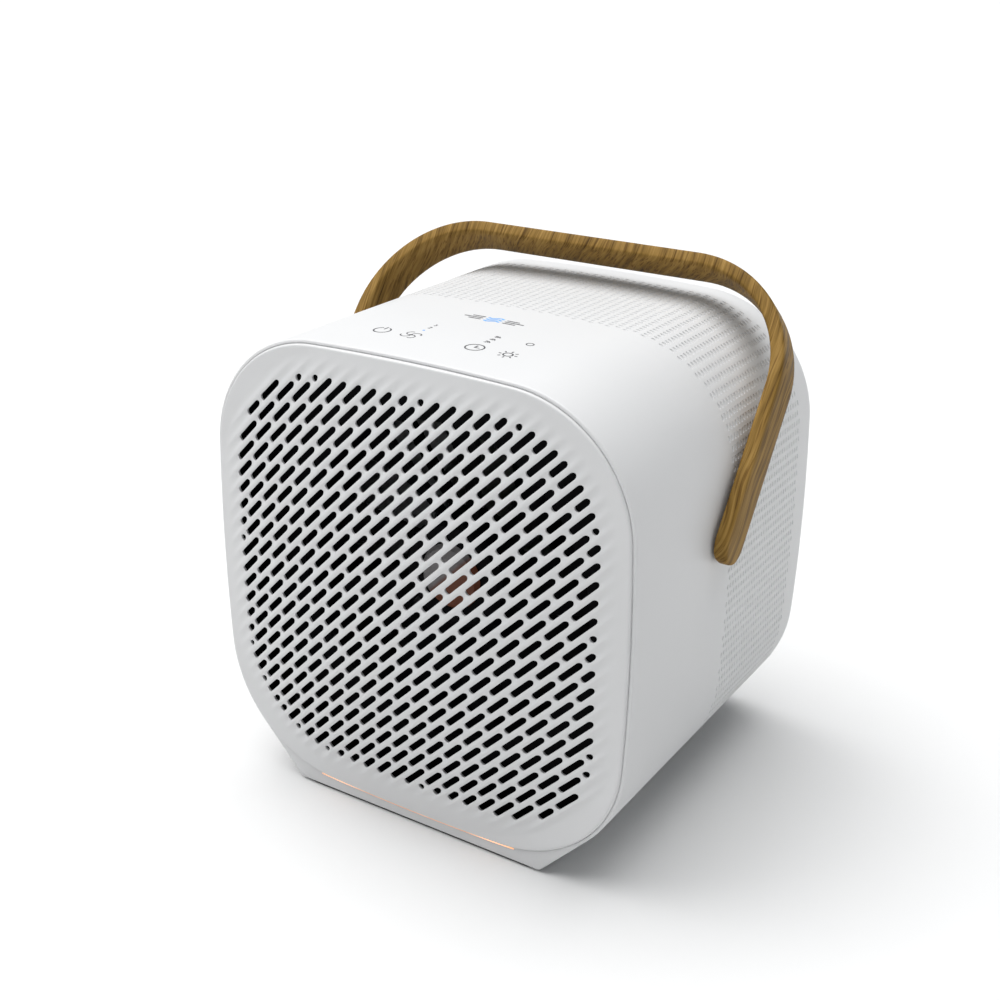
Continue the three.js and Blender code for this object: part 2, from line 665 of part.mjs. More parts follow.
function pleatedMedia() {
  const points = [];
  for (let i = 0; i < PLEATS * 2; i++) {
    const angle = i * Math.PI / PLEATS;
    const radius = i % 2 ? FILTER_RADIUS - PLEAT_DEPTH : FILTER_RADIUS;
    points.push([radius * Math.cos(angle), AXIS_Z + radius * Math.sin(angle)]);
  }
  const y0 = FILTER_FRONT_Y + RING_THICK + GAP;
  const y1 = FILTER_REAR_Y - RING_THICK - GAP;
  return cut(slab(points, y0, y1), disc(FILTER_BORE, y0 - 1, y1 + 1, 0, AXIS_Z, ROUND));
}

function filterGasket() {
  return ring(54, 66, BULKHEAD_Y + BULKHEAD_PLATE + GAP, FILTER_FRONT_Y - GAP, 0, AXIS_Z, ROUND);
}

function endRing(bore, y) {
  return ring(bore, FILTER_RADIUS + RING_LIP, y, y + RING_THICK, 0, AXIS_Z, ROUND);
}

function endCap(y) {
  return disc(FILTER_RADIUS + RING_LIP, y, y + RING_THICK, 0, AXIS_Z, ROUND);
}

function prefilter() {
  const y0 = FILTER_FRONT_Y + RING_THICK + GAP;
  const y1 = FILTER_REAR_Y - RING_THICK - GAP;
  return ring(FILTER_RADIUS + 1, FILTER_RADIUS + 2, y0, y1, 0, AXIS_Z, 40);
}

function pullTab() {
  return box(-9, 9, FILTER_REAR_Y + GAP, FILTER_REAR_Y + 1.1, AXIS_Z + 8, AXIS_Z + 44);
}

// Rear cover.
function rearCover() {
  const plateY = REAR_Y - 1.4;
  const backY = REAR_Y - 0.2;
  const plate = turned([[0, plateY], [COVER_RADIUS, plateY], [COVER_RADIUS, backY - 0.5],
    [COVER_RADIUS - 0.5, backY], [0, backY]], 0, AXIS_Z, ROUND);
  const spigot = ring(COVER_SPIGOT - 2.2, COVER_SPIGOT, 82.5, plateY + 0.4, 0, AXIS_Z, ROUND);
  const bowl = turned([[0, 84], [24, 84], [26, 86], [26, plateY + 0.4], [BOWL_RADIUS, plateY + 0.4],
    [BOWL_RADIUS, 86.4], [23, 85.9], [0, 85.9]], 0, AXIS_Z, ROUND);
  const bar = box(-24.5, 24.5, 85, backY, AXIS_Z - BAR_HALF, AXIS_Z + BAR_HALF);
  const tabs = [];
  for (let i = 0; i < 3; i++) {
    const tab = box(-13, 13, 82.5, 87, 73, 78.8);
    tab.rotateY(THREE.MathUtils.degToRad(120 * i));
    tab.translate(0, 0, AXIS_Z);
    tabs.push(tab);
  }
  const slots = [];
  for (const [inner, outer, count] of COVER_SLOTS) {
    for (let i = 0; i < count; i++) {
      const slot = box(inner, outer, 90, REAR_Y + 1, -1.6, 1.6);
      slot.rotateY((i + 0.5) * 2 * Math.PI / count);
      slot.translate(0, 0, AXIS_Z);
      slots.push(slot);
    }
  }
  const open = disc(BOWL_RADIUS, plateY - 3, REAR_Y + 1, 0, AXIS_Z, ROUND);
  return cut(join(cut(plate, open), spigot, bowl, bar, ...tabs), ...slots);
}

// Electrics.
const ICON_Y = -54.9;
const ICON_X = [-31, -17, 13, 28];

function controlBoard() {
  return box(-45, 45, -57.6, -22, 194, 195.6);
}

function standing(radius, x, y, z0, z1, steps = 12) {
  const geometry = new THREE.CylinderGeometry(radius, radius, z1 - z0, steps);
  geometry.rotateX(Math.PI / 2);
  geometry.translate(x, y, (z0 + z1) / 2);
  return geometry;
}

function powerBoard() {
  return box(-46, 46, 10, 66, 9, 10.6);
}

function dcInlet() {
  const barrel = turned([[2.9, REAR_Y - 9], [4.2, REAR_Y - 9], [4.2, REAR_Y - 0.4], [2.9, REAR_Y - 0.4]],
    JACK_X, JACK_Z, 16);
  const half = 6;
  const block = box(JACK_X - half, JACK_X + half, REAR_Y - 20, REAR_Y - WALL - 2.8,
    JACK_Z - half, JACK_Z + half);
  const bore = disc(2.9, REAR_Y - 16, REAR_Y + 1, JACK_X, JACK_Z, 16);
  const pin = disc(0.9, REAR_Y - 17, REAR_Y - 3, JACK_X, JACK_Z, 8);
  return join(cut(join(barrel, block), bore), pin);
}

function lightBoard() {
  const board = box(-LIGHT_HALF + 2, LIGHT_HALF - 2, FRONT_Y + 6.4, FRONT_Y + 7.8, 4, 11.5);
  const front = FRONT_Y + 5.3;
  const lamps = [-40, -20, 0, 20, 40].map((x) => box(x - 1.6, x + 1.6, front, front + 1.2, 5.2, 7.4));
  return join(board, ...lamps);
}

// Assembly.
const purifier = new THREE.Group();

function add(name, geometry, material, parent = purifier) {
  const mesh = new THREE.Mesh(weld(geometry), material);
  mesh.name = name;
  parent.add(mesh);
}

add("housing_sleeve", sleeve(), whitePlastic);
add("front_grille", grille(), whitePlastic);
add("base_pad", padOutline(0, 0, PAD_HEIGHT + PAD_RECESS - GAP), rubber);
add("night_light_guide", lightBand(0.45, 1.5, LIGHT_HALF, FRONT_Y - 0.7, FRONT_Y + 5), amberLens);
add("night_light_board", lightBoard(), boardGreen);

add("fan_shroud", shroud(), blackPlastic);
BOSS_SPOTS.forEach((spot, i) => add(`shroud_screw_${i + 1}`, screw(SHROUD_Y, spot), steel));
add("motor_base", motorBase(), brass);
add("motor_driver_board", driverBoard(), boardGreen);
add("stator_core", statorCore(), steel);
add("stator_winding", statorWinding(), copper);
add("bearing_front", bearing(-46), steel);
add("bearing_rear", bearing(-33), steel);

add("impeller", impeller(), blackPlastic);
add("hub_cap", hubCap(), greyPlastic);
add("rotor_bell", rotorBell(), steel);
add("rotor_magnet", ring(17.6, 19.7, -47, -33, 0, AXIS_Z, 32), magnet);
add("motor_shaft", disc(SHAFT_RADIUS, HUB_FACE_Y + 0.4, -29.5, 0, AXIS_Z, 12), steel);

add("filter_bulkhead", bulkhead(), innerPlastic);
BOSS_SPOTS.forEach((spot, i) => add(`bulkhead_screw_${i + 1}`, screw(BULKHEAD_Y, spot), steel));
add("filter_gasket", filterGasket(), foam);
add("filter_front_ring", endRing(FILTER_BORE, FILTER_FRONT_Y), blackPlastic);
add("filter_media", pleatedMedia(), filterPaper);
add("prefilter_mesh", prefilter(), meshCloth);
add("filter_rear_cap", endCap(FILTER_REAR_Y - RING_THICK), blackPlastic);
add("filter_pull_tab", pullTab(), meshCloth);
add("rear_cover", rearCover(), whitePlastic);

add("control_board", controlBoard(), boardGreen);
ICON_X.forEach((x, i) => {
  const names = ["power", "fan", "timer", "light"];
  add(`touch_spring_${names[i]}`, standing(3.2, x, ICON_Y, 195.9, 204), steel);
});
add("power_board", powerBoard(), boardGreen);
add("capacitor_large", standing(6.5, -32, 28, 10.9, 27), blackPlastic);
add("capacitor_small", standing(5, -16, 28, 10.9, 23), blackPlastic);
add("choke_coil", standing(8, 8, 28, 10.9, 19, 16), copper);
add("voltage_regulator", box(24, 40, 24, 30, 10.9, 16), blackPlastic);
add("dc_inlet", dcInlet(), blackPlastic);

const rightBush = pivotBush();
add("pivot_bush_right", rightBush, blackPlastic);
add("pivot_bush_left", mirrorX(rightBush), blackPlastic);

const bail = new THREE.Group();
bail.position.set(0, PIVOT_Y, PIVOT_Z);
bail.rotation.x = THREE.MathUtils.degToRad(-HANDLE_LEAN);
purifier.add(bail);
const rightPin = pivotPin();
const rightClip = pivotClip();
add("handle", handle(), wood, bail);
add("pivot_pin_right", rightPin, steel, bail);
add("pivot_pin_left", mirrorX(rightPin), steel, bail);
add("pivot_clip_right", rightClip, steel, bail);
add("pivot_clip_left", mirrorX(rightClip), steel, bail);

export default purifier;
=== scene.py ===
import math
import bmesh
import bpy
import numpy as np
from mathutils import Euler, Matrix, Vector
from mathutils.geometry import delaunay_2d_cdt


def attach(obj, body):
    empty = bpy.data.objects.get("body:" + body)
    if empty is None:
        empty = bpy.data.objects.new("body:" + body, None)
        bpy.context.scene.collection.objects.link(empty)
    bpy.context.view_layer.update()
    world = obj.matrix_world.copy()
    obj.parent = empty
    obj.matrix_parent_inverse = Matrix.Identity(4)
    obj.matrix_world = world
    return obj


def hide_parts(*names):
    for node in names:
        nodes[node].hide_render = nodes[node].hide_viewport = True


# Looks of a desktop air purifier: white sleeve, domed outlet grille, wooden bail handle.
# Lengths in the dictionaries are millimetres; x is to the right, y to the back, z up.
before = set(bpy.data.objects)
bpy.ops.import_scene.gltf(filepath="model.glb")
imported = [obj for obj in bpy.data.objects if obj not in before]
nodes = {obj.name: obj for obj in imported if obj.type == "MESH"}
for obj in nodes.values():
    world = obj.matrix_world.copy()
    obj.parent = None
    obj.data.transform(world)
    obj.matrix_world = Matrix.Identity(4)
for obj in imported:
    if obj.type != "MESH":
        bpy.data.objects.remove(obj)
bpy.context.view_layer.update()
scene = bpy.context.scene
mm = 0.001

cameraSetup = {
    "place": (305.47, -498.05, 368.36),
    "turn": 32.32,  # degrees round the object from straight ahead
    "tilt": 22.869,  # degrees above the horizon
    "roll": 0.653,
    "lens": 52.01,
    "sensor": 36,
    "clip": (0.01, 60),  # metres
}


def placeCamera(setup):
    # looks back along the direction given by turn and tilt, then rolls about it
    turn, tilt, roll = (math.radians(setup[key]) for key in ("turn", "tilt", "roll"))
    level = math.cos(tilt)
    back = Vector((math.sin(turn) * level, -math.cos(turn) * level, math.sin(tilt)))
    right = Vector((math.cos(turn), math.sin(turn), 0))
    up = back.cross(right)
    across = math.cos(roll) * right + math.sin(roll) * up
    upright = math.cos(roll) * up - math.sin(roll) * right
    data = bpy.data.cameras.new("viewCamera")
    data.lens = setup["lens"]
    data.sensor_width = setup["sensor"]
    data.clip_start, data.clip_end = setup["clip"]
    made = bpy.data.objects.new("viewCamera", data)
    scene.collection.objects.link(made)
    turned = Matrix((across, upright, back)).transposed().to_4x4()
    made.matrix_world = Matrix.Translation(Vector(setup["place"]) * mm) @ turned
    scene.camera = made


placeCamera(cameraSetup)
print("camera placed")

finishes = {
    "whiteShell": {
        "light": (0.672, 0.673, 0.677), "dark": (0.66, 0.661, 0.665), "patch": 9, "rough": (0.40, 0.47),
        "grain": 2600, "depth": 0.012,
    },
    "innerPlastic": {
        "light": (0.62, 0.63, 0.64), "dark": (0.55, 0.56, 0.57), "patch": 20, "rough": (0.5, 0.6),
        "grain": 1500, "depth": 0.02,
    },
    # black plastic made darker and duller than real black plastic: painted shade, so the parts seen through
    # the grille slots read as black as the shaded inside of the body
    "blackPlasticAndPaintedShade": {
        "light": (0.006, 0.006, 0.007), "dark": (0.003, 0.003, 0.004), "patch": 30, "rough": (0.6, 0.75),
        "grain": 1500, "depth": 0.02, "gloss": 0.08,
    },
    "rubber": {
        "light": (0.03, 0.03, 0.032), "dark": (0.018, 0.018, 0.02), "patch": 40, "rough": (0.75, 0.9),
        "grain": 1200, "depth": 0.05,
    },
    "steel": {
        "light": (0.62, 0.63, 0.65), "dark": (0.48, 0.49, 0.51), "patch": 90, "rough": (0.22, 0.4),
        "grain": 3000, "depth": 0.01, "metal": 1,
    },
    "brass": {
        "light": (0.78, 0.58, 0.26), "dark": (0.6, 0.42, 0.17), "patch": 90, "rough": (0.25, 0.4),
        "grain": 3000, "depth": 0.01, "metal": 1,
    },
    "copper": {
        "light": (0.75, 0.33, 0.16), "dark": (0.5, 0.19, 0.08), "patch": 120, "rough": (0.25, 0.45),
        "grain": 900, "depth": 0.08, "metal": 1,
    },
    "magnet": {
        "light": (0.09, 0.09, 0.095), "dark": (0.05, 0.05, 0.055), "patch": 100, "rough": (0.45, 0.6),
        "grain": 1600, "depth": 0.04, "metal": 0.5,
    },
    "circuitBoard": {
        "light": (0.03, 0.16, 0.07), "dark": (0.015, 0.09, 0.04), "patch": 260, "rough": (0.3, 0.5),
        "grain": 700, "depth": 0.03,
    },
    "filterPaper": {
        "light": (0.82, 0.81, 0.77), "dark": (0.7, 0.69, 0.65), "patch": 120, "rough": (0.85, 0.98),
        "grain": 1100, "depth": 0.12,
    },
    "foam": {
        "light": (0.06, 0.06, 0.065), "dark": (0.02, 0.02, 0.024), "patch": 900, "rough": (0.9, 1),
        "grain": 800, "depth": 0.25,
    },
    "meshCloth": {
        "light": (0.035, 0.037, 0.04), "dark": (0.012, 0.013, 0.015), "patch": 1400, "rough": (0.8, 0.95),
        "grain": 1400, "depth": 0.2,
    },
    "symbolGrey": {
        "light": (0.075, 0.075, 0.08), "dark": (0.05, 0.05, 0.055), "patch": 700, "rough": (0.45, 0.6),
        "grain": 2600, "depth": 0.01,
    },
    "symbolBlue": {
        "light": (0.16, 0.42, 0.82), "dark": (0.10, 0.32, 0.72), "patch": 400, "rough": (0.45, 0.6),
        "grain": 2600, "depth": 0.01,
    },
    "paleFloor": {
        "light": (0.73, 0.73, 0.73), "dark": (0.725, 0.725, 0.725), "patch": 2, "rough": (0.7, 0.8),
        "grain": 300, "depth": 0.01,
    },
}


class Finish:
    # a Principled surface and short ways to add and join its nodes
    def __init__(self, name):
        self.material = bpy.data.materials.new(name)
        self.material.use_nodes = True
        self.tree = self.material.node_tree
        self.surface = self.tree.nodes["Principled BSDF"]
        self.places = self.tree.nodes.new("ShaderNodeTexCoord").outputs["Object"]

    def add(self, kind, **settings):
        # a node, with its own settings or else the values of its inputs
        node = self.tree.nodes.new(kind)
        for key, value in settings.items():
            if hasattr(node, key):
                setattr(node, key, value)
            else:
                node.inputs[key.replace("_", " ")].default_value = value
        return node

    def join(self, start, end):
        self.tree.links.new(start, end)

    def noise(self, places, scale, detail=3, roughness=0.5):
        # soft noise over the places, from 0 to 1
        node = self.add("ShaderNodeTexNoise", Scale=scale, Detail=detail, Roughness=roughness)
        self.join(places, node.inputs["Vector"])
        return node.outputs["Fac"]

    def span(self, value, low, high, fromLow=0.3, fromHigh=0.7):
        # the value carried evenly from one range to another, and held at its ends
        node = self.add("ShaderNodeMapRange")
        for key, number in zip(("From Min", "From Max", "To Min", "To Max"), (fromLow, fromHigh, low, high)):
            node.inputs[key].default_value = number
        self.join(value, node.inputs["Value"])
        return node.outputs["Result"]

    def ramp(self, value, stops):
        # colours blended between stops, each a place and a colour
        node = self.add("ShaderNodeValToRGB")
        while len(node.color_ramp.elements) < len(stops):
            node.color_ramp.elements.new(0.5)
        for element, (place, colour) in zip(node.color_ramp.elements, stops):
            element.position = place
            element.color = (*colour, 1)
        self.join(value, node.inputs["Fac"])
        return node.outputs["Color"]

    def bump(self, height, distance):
        # the surface shaded as if lifted by the height, up to the distance
        node = self.add("ShaderNodeBump", Strength=1, Distance=distance * mm)
        self.join(height, node.inputs["Height"])
        self.join(node.outputs["Normal"], self.surface.inputs["Normal"])


def speckledFinish(name, look):
    # colour drifts in soft patches, roughness with it, and a fine moulded grain lifts the surface
    made = Finish(name)
    patches = made.noise(made.places, look["patch"])
    shade = made.ramp(patches, [(0.35, look["dark"]), (0.65, look["light"])])
    made.join(shade, made.surface.inputs["Base Color"])
    made.join(made.span(patches, *look["rough"]), made.surface.inputs["Roughness"])
    made.bump(made.noise(made.places, look["grain"], detail=2), look["depth"])
    made.surface.inputs["Metallic"].default_value = look.get("metal", 0)
    made.surface.inputs["Specular IOR Level"].default_value = look.get("gloss", 0.5)
    return made


finish = {name: speckledFinish(name, look).material for name, look in finishes.items()}

oak = {
    "lean": 38.1,  # degrees from upright, the way the fibres run
    "layerTurn": 33,  # degrees between the growth layers and the leg's broad face
    "layerScale": 620,
    "layerStretch": (1, 15, 30),
    "sway": 9,  # how far slow noise bends the fibres sideways
    "swayScale": 24,
    "poreScale": 1500,
    "poreStretch": (1, 9, 34),
    "layerStops": (0.32, 0.5, 0.7),
    "pale": (0.36, 0.22, 0.066),
    "middle": (0.24, 0.139, 0.034),
    "deep": (0.12, 0.066, 0.014),
    "poreStops": (0.36, 0.46),
    "poreShade": (0.55, 0.5, 0.45),
    "rough": (0.42, 0.58),
    "gloss": 0.08,
    "depth": 0.05,
}


def oakFinish(look):
    # layers and pores are noise squeezed along the fibres, which all run the way the legs do
    made = Finish("oak")
    upright = made.add("ShaderNodeMapping", vector_type="POINT")
    upright.inputs["Rotation"].default_value = Euler((math.radians(look["lean"]), 0, 0))
    made.join(made.places, upright.inputs["Vector"])
    sway = made.add("ShaderNodeTexNoise", Scale=look["swayScale"], Detail=1)
    made.join(made.places, sway.inputs["Vector"])
    bent = made.add("ShaderNodeVectorMath", operation="MULTIPLY_ADD")
    made.join(sway.outputs["Color"], bent.inputs[0])
    bent.inputs[1].default_value = (look["sway"] * mm, look["sway"] * mm, 0)
    made.join(upright.outputs["Vector"], bent.inputs[2])

    def squeezed(stretch):
        node = made.add("ShaderNodeMapping", vector_type="TEXTURE")
        node.inputs["Rotation"].default_value = Euler((0, 0, math.radians(look["layerTurn"])))
        node.inputs["Scale"].default_value = stretch
        made.join(bent.outputs["Vector"], node.inputs["Vector"])
        return node.outputs["Vector"]

    layers = made.noise(squeezed(look["layerStretch"]), look["layerScale"], detail=4, roughness=0.6)
    pores = made.noise(squeezed(look["poreStretch"]), look["poreScale"], detail=2)
    shades = (look["deep"], look["middle"], look["pale"])
    colour = made.ramp(layers, list(zip(look["layerStops"], shades)))
    shade = made.ramp(pores, list(zip(look["poreStops"], (look["poreShade"], (1, 1, 1)))))
    mixed = made.add("ShaderNodeMix", data_type="RGBA", blend_type="MULTIPLY")
    mixed.inputs["Factor"].default_value = 1
    made.join(colour, mixed.inputs[6])
    made.join(shade, mixed.inputs[7])
    made.join(mixed.outputs[2], made.surface.inputs["Base Color"])
    made.join(made.span(layers, *look["rough"]), made.surface.inputs["Roughness"])
    made.bump(pores, look["depth"])
    made.surface.inputs["Specular IOR Level"].default_value = look["gloss"]
    return made.material


finish["oak"] = oakFinish(oak)

glow = {
    "colour": (1.0, 0.42, 0.16), "strength": 2.2,
    "ends": 40,  # each lamp's distance from the middle
    "endWidth": 13, "middleShare": 0.25,
    "cloud": 300, "stops": (0.3, 0.7), "shades": ((0.8, 0.45, 0.25), (0.9, 0.55, 0.32)),
    "rough": (0.3, 0.42), "grain": 1500, "depth": 0.01,
}


def amberFinish(look):
    # brightness falls evenly with the distance from the nearer of two lamps, down to the middle's share
    made = Finish("amberLight")
    split = made.add("ShaderNodeSeparateXYZ")
    made.join(made.places, split.inputs["Vector"])
    away = made.add("ShaderNodeMath", operation="ABSOLUTE")
    made.join(split.outputs["X"], away.inputs[0])
    offset = made.add("ShaderNodeMath", operation="SUBTRACT")
    made.join(away.outputs[0], offset.inputs[0])
    offset.inputs[1].default_value = look["ends"] * mm
    far = made.add("ShaderNodeMath", operation="ABSOLUTE")
    made.join(offset.outputs[0], far.inputs[0])
    dim = look["strength"] * look["middleShare"]
    share = made.span(far.outputs[0], look["strength"], dim, 0, look["endWidth"] * mm)
    made.join(share, made.surface.inputs["Emission Strength"])
    made.surface.inputs["Emission Color"].default_value = (*look["colour"], 1)
    cloud = made.noise(made.places, look["cloud"])
    shade = made.ramp(cloud, list(zip(look["stops"], look["shades"])))
    made.join(shade, made.surface.inputs["Base Color"])
    made.join(made.span(cloud, *look["rough"]), made.surface.inputs["Roughness"])
    made.bump(made.noise(made.places, look["grain"]), look["depth"])
    return made.material


finish["amberLight"] = amberFinish(glow)

hubLook = {
    "grey": (0.30, 0.285, 0.29), "warm": (0.21, 0.055, 0.018), "stops": (0.2, 0.52),
    "turn": -45, "axis": 106.11, "zoom": 35, "blend": 0.12,
    "rings": 260, "waver": 0.4, "depth": 0.02, "rough": (0.35, 0.5),
}


def hubFinish(look):
    # cool grey on the upper left, copper brown on the lower right, with turned rings
    made = Finish("hubFace")
    centred = made.add("ShaderNodeMapping", vector_type="POINT")
    centred.inputs["Location"].default_value = (0, 0, -look["axis"] * mm)
    made.join(made.places, centred.inputs["Vector"])
    turned = made.add("ShaderNodeMapping", vector_type="POINT")
    turned.inputs["Rotation"].default_value = Euler((0, math.radians(look["turn"]), 0))
    turned.inputs["Scale"].default_value = (look["zoom"],) * 3
    made.join(centred.outputs["Vector"], turned.inputs["Vector"])
    split = made.add("ShaderNodeSeparateXYZ")
    made.join(turned.outputs["Vector"], split.inputs["Vector"])
    share = made.span(split.outputs["X"], 0, 1, -look["blend"], look["blend"])
    shade = made.ramp(share, list(zip(look["stops"], (look["grey"], look["warm"]))))
    made.join(shade, made.surface.inputs["Base Color"])
    rings = made.add("ShaderNodeTexWave", wave_type="RINGS", rings_direction="Y",
                     Scale=look["rings"], Distortion=look["waver"])
    made.join(centred.outputs["Vector"], rings.inputs["Vector"])
    made.bump(rings.outputs["Fac"], look["depth"])
    made.join(made.span(rings.outputs["Fac"], *look["rough"], 0, 1), made.surface.inputs["Roughness"])
    return made.material


finish["hubFace"] = hubFinish(hubLook)
print("finishes made")


class Skin:
    # points and faces of one piece, gathered as arrays and made a mesh at the end
    def __init__(self):
        self.blocks = []
        self.faces = []
        self.count = 0

    def points(self, block):
        # keeps a block of points and gives their numbers
        block = np.asarray(block, float).reshape(-1, 3)
        index = np.arange(self.count, self.count + len(block))
        self.blocks.append(block)
        self.count += len(block)
        return index

    def all(self):
        return np.concatenate(self.blocks)

    def add(self, faces):
        # keeps faces, given as rows of point numbers
        self.faces.append(np.asarray(faces))

    def strip(self, one, other):
        # quads between two closed rows of points
        one, other = np.append(one, one[0]), np.append(other, other[0])
        self.add(np.stack([one[:-1], other[:-1], other[1:], one[1:]], 1))

    def grid(self, index, closedRows=False):
        # quads over an array of point numbers, each row closed on itself
        index = np.concatenate([index, index[:, :1]], 1)
        if closedRows:
            index = np.concatenate([index, index[:1]], 0)
        quads = np.stack([index[:-1, :-1], index[1:, :-1], index[1:, 1:], index[:-1, 1:]], -1)
        self.add(quads.reshape(-1, 4))

    def fan(self, rim, centre):
        # triangles from a closed rim to one point
        middle = self.points([centre])[0]
        self.add(np.stack([rim, np.roll(rim, -1), np.full(len(rim), middle)], 1))

    def make(self, name, material, body, slot, replaced=(), sharp=42):
        # one mesh object with its normals turned outwards; edges over the sharp angle stay crisp
        co = self.all() * mm
        corners = np.concatenate([f.ravel() for f in self.faces])
        sizes = np.concatenate([np.full(len(f), f.shape[1]) for f in self.faces])
        mesh = bpy.data.meshes.new(name)
        mesh.vertices.add(len(co))
        mesh.vertices.foreach_set("co", co.ravel())
        mesh.loops.add(len(corners))
        mesh.loops.foreach_set("vertex_index", corners.astype(np.int32))
        mesh.polygons.add(len(sizes))
        mesh.polygons.foreach_set("loop_start", (np.cumsum(sizes) - sizes).astype(np.int32))
        mesh.update(calc_edges=True)
        mesh.validate()
        work = bmesh.new()
        work.from_mesh(mesh)
        bmesh.ops.recalc_face_normals(work, faces=work.faces)
        loose = sum(1 for edge in work.edges if not edge.is_manifold)
        work.to_mesh(mesh)
        work.free()
        mesh.shade_smooth()
        mesh.set_sharp_from_angle(angle=math.radians(sharp))
        mesh.materials.append(material)
        made = bpy.data.objects.new(name, mesh)
        scene.collection.objects.link(made)
        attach(made, body)
        if replaced:
            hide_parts(*replaced)
        mesh.calc_loop_triangles()
        print(name, "made:", len(mesh.loop_triangles), "triangles,", loose, "open edges")
        return made


def fillBetween(loops, extra):
    # constrained Delaunay triangles in the plane between an outer loop and the convex holes in it,
    # with extra points inside; corners are numbered loop after loop and then the extra points
    flat = np.concatenate([*loops, extra])
    owner = np.full(len(flat), -1)
    edges = []
    start = 0
    for number, loop in enumerate(loops):
        around = np.arange(start, start + len(loop))
        owner[around] = number
        edges += np.stack([around, np.roll(around, -1)], 1).tolist()
        start += len(loop)
    insideOnly, nearness = 1, 1e-5
    done = delaunay_2d_cdt([Vector(p) for p in flat.tolist()], edges, [], insideOnly, nearness)
    first = np.array([origins[0] if origins else -1 for origins in done[3]])
    triangles = first[np.array(done[2])]
    own = owner[triangles]
    inHole = (own[:, 0] > 0) & (own[:, 0] == own[:, 1]) & (own[:, 1] == own[:, 2])
    triangles = triangles[~inHole & (triangles >= 0).all(1)]
    a, b, c = (flat[triangles[:, i]] for i in range(3))
    turn = (b[:, 0] - a[:, 0]) * (c[:, 1] - a[:, 1]) - (b[:, 1] - a[:, 1]) * (c[:, 0] - a[:, 0])
    triangles[turn < 0] = triangles[turn < 0][:, ::-1]
    return triangles


def inPlane(flat, y):
    # x, z pairs put at depth y
    return np.stack([flat[:, 0], np.broadcast_to(y, len(flat)), flat[:, 1]], 1)


def circle(radius, count, x, z):
    # x, z round a circle, from its lowest point
    angle = np.linspace(0, 2 * math.pi, count, endpoint=False)
    return np.stack([x + radius * np.sin(angle), z - radius * np.cos(angle)], 1)


def turnedShell(skin, profile, steps, z):
    # radius, y pairs turned about the line along y at height z: closed to a pole at both ends, or a ring
    # with its last pair joined to the first
    rows = [skin.points(inPlane(circle(r, steps, 0, z), y)) for r, y in profile if r > 0]
    for one, other in zip(rows[:-1], rows[1:]):
        skin.strip(one, other)
    if profile[0][0] == 0:
        skin.fan(rows[0], (0, profile[0][1], z))
        skin.fan(rows[-1], (0, profile[-1][1], z))
    else:
        skin.strip(rows[-1], rows[0])


bodyForm = {
    "halfWidth": 100, "halfHeight": 101.59, "axisZ": 106.11, "frontY": -80.65, "rearY": 94.75,
    "sideBow": 931.7, "topBow": 1051.7, "topCorner": 54.6, "lowCorner": 58.1,
    "footZ": 1, "footHalf": 62.05, "footRound": 3, "leastRound": 0.3,
    "arcSteps": 500, "footSteps": 60,
}


def cornerCentre(radius):
    # centre of the circle that touches a side bow and a top bow from inside
    sideX = bodyForm["halfWidth"] - bodyForm["sideBow"]
    bowZ = bodyForm["halfHeight"] - bodyForm["topBow"]
    fromSide = bodyForm["sideBow"] - radius
    fromBow = bodyForm["topBow"] - radius
    span = math.hypot(sideX, bowZ)
    along = (fromSide ** 2 - fromBow ** 2 + span ** 2) / (2 * span)
    across = math.sqrt(fromSide ** 2 - along ** 2)
    ux, uz = -sideX / span, bowZ / span
    return sideX + along * ux - across * uz, along * uz + across * ux


def arcPoints(cx, cz, radius, start, end, count=bodyForm["arcSteps"]):
    # x, z along an arc between two angles in radians
    angle = np.linspace(start, end, count)
    return np.stack([cx + radius * np.cos(angle), cz + radius * np.sin(angle)], 1)


def rightOutline(inset, hasFoot):
    # arcs of the right half from the lowest point to the top, about the axis, moved in by inset
    topX, topZ = cornerCentre(bodyForm["topCorner"])
    lowX, lowUp = cornerCentre(bodyForm["lowCorner"])
    lowRadius = bodyForm["lowCorner"]
    sideX = bodyForm["halfWidth"] - bodyForm["sideBow"]
    bowZ = bodyForm["halfHeight"] - bodyForm["topBow"]
    sideLow = math.atan2(-lowUp, lowX - sideX)
    sideHigh = math.atan2(topZ, topX - sideX)
    topTurn = math.atan2(topZ - bowZ, topX)
    parts = []
    if hasFoot:
        footZ = bodyForm["footZ"] - bodyForm["axisZ"]
        dx, dz = lowX - bodyForm["footHalf"], -lowUp - footZ
        lean = math.atan2(dz, dx) - math.asin(lowRadius / math.hypot(dx, dz)) - math.pi / 2
        outX, outZ = math.cos(lean), math.sin(lean)
        reach = bodyForm["footHalf"] * outX + footZ * outZ - inset
        level = footZ + inset
        radius = max(bodyForm["footRound"] - inset, bodyForm["leastRound"])
        centre = ((reach - radius - (level + radius) * outZ) / outX, level + radius)
        steps = bodyForm["footSteps"]
        parts.append(np.stack([np.linspace(0, centre[0], steps), np.full(steps, level)], 1))
        parts.append(arcPoints(*centre, radius, -math.pi / 2, lean, steps))
        parts.append(arcPoints(lowX, -lowUp, lowRadius - inset, lean, sideLow))
    else:
        lowTurn = -math.atan2(lowUp - bowZ, lowX)
        parts.append(arcPoints(0, -bowZ, bodyForm["topBow"] - inset, -math.pi / 2, lowTurn))
        parts.append(arcPoints(lowX, -lowUp, lowRadius - inset, lowTurn, sideLow))
    parts.append(arcPoints(sideX, 0, bodyForm["sideBow"] - inset, sideLow, sideHigh))
    parts.append(arcPoints(topX, topZ, bodyForm["topCorner"] - inset, sideHigh, topTurn))
    parts.append(arcPoints(0, bowZ, bodyForm["topBow"] - inset, topTurn, math.pi / 2))
    return np.concatenate(parts)


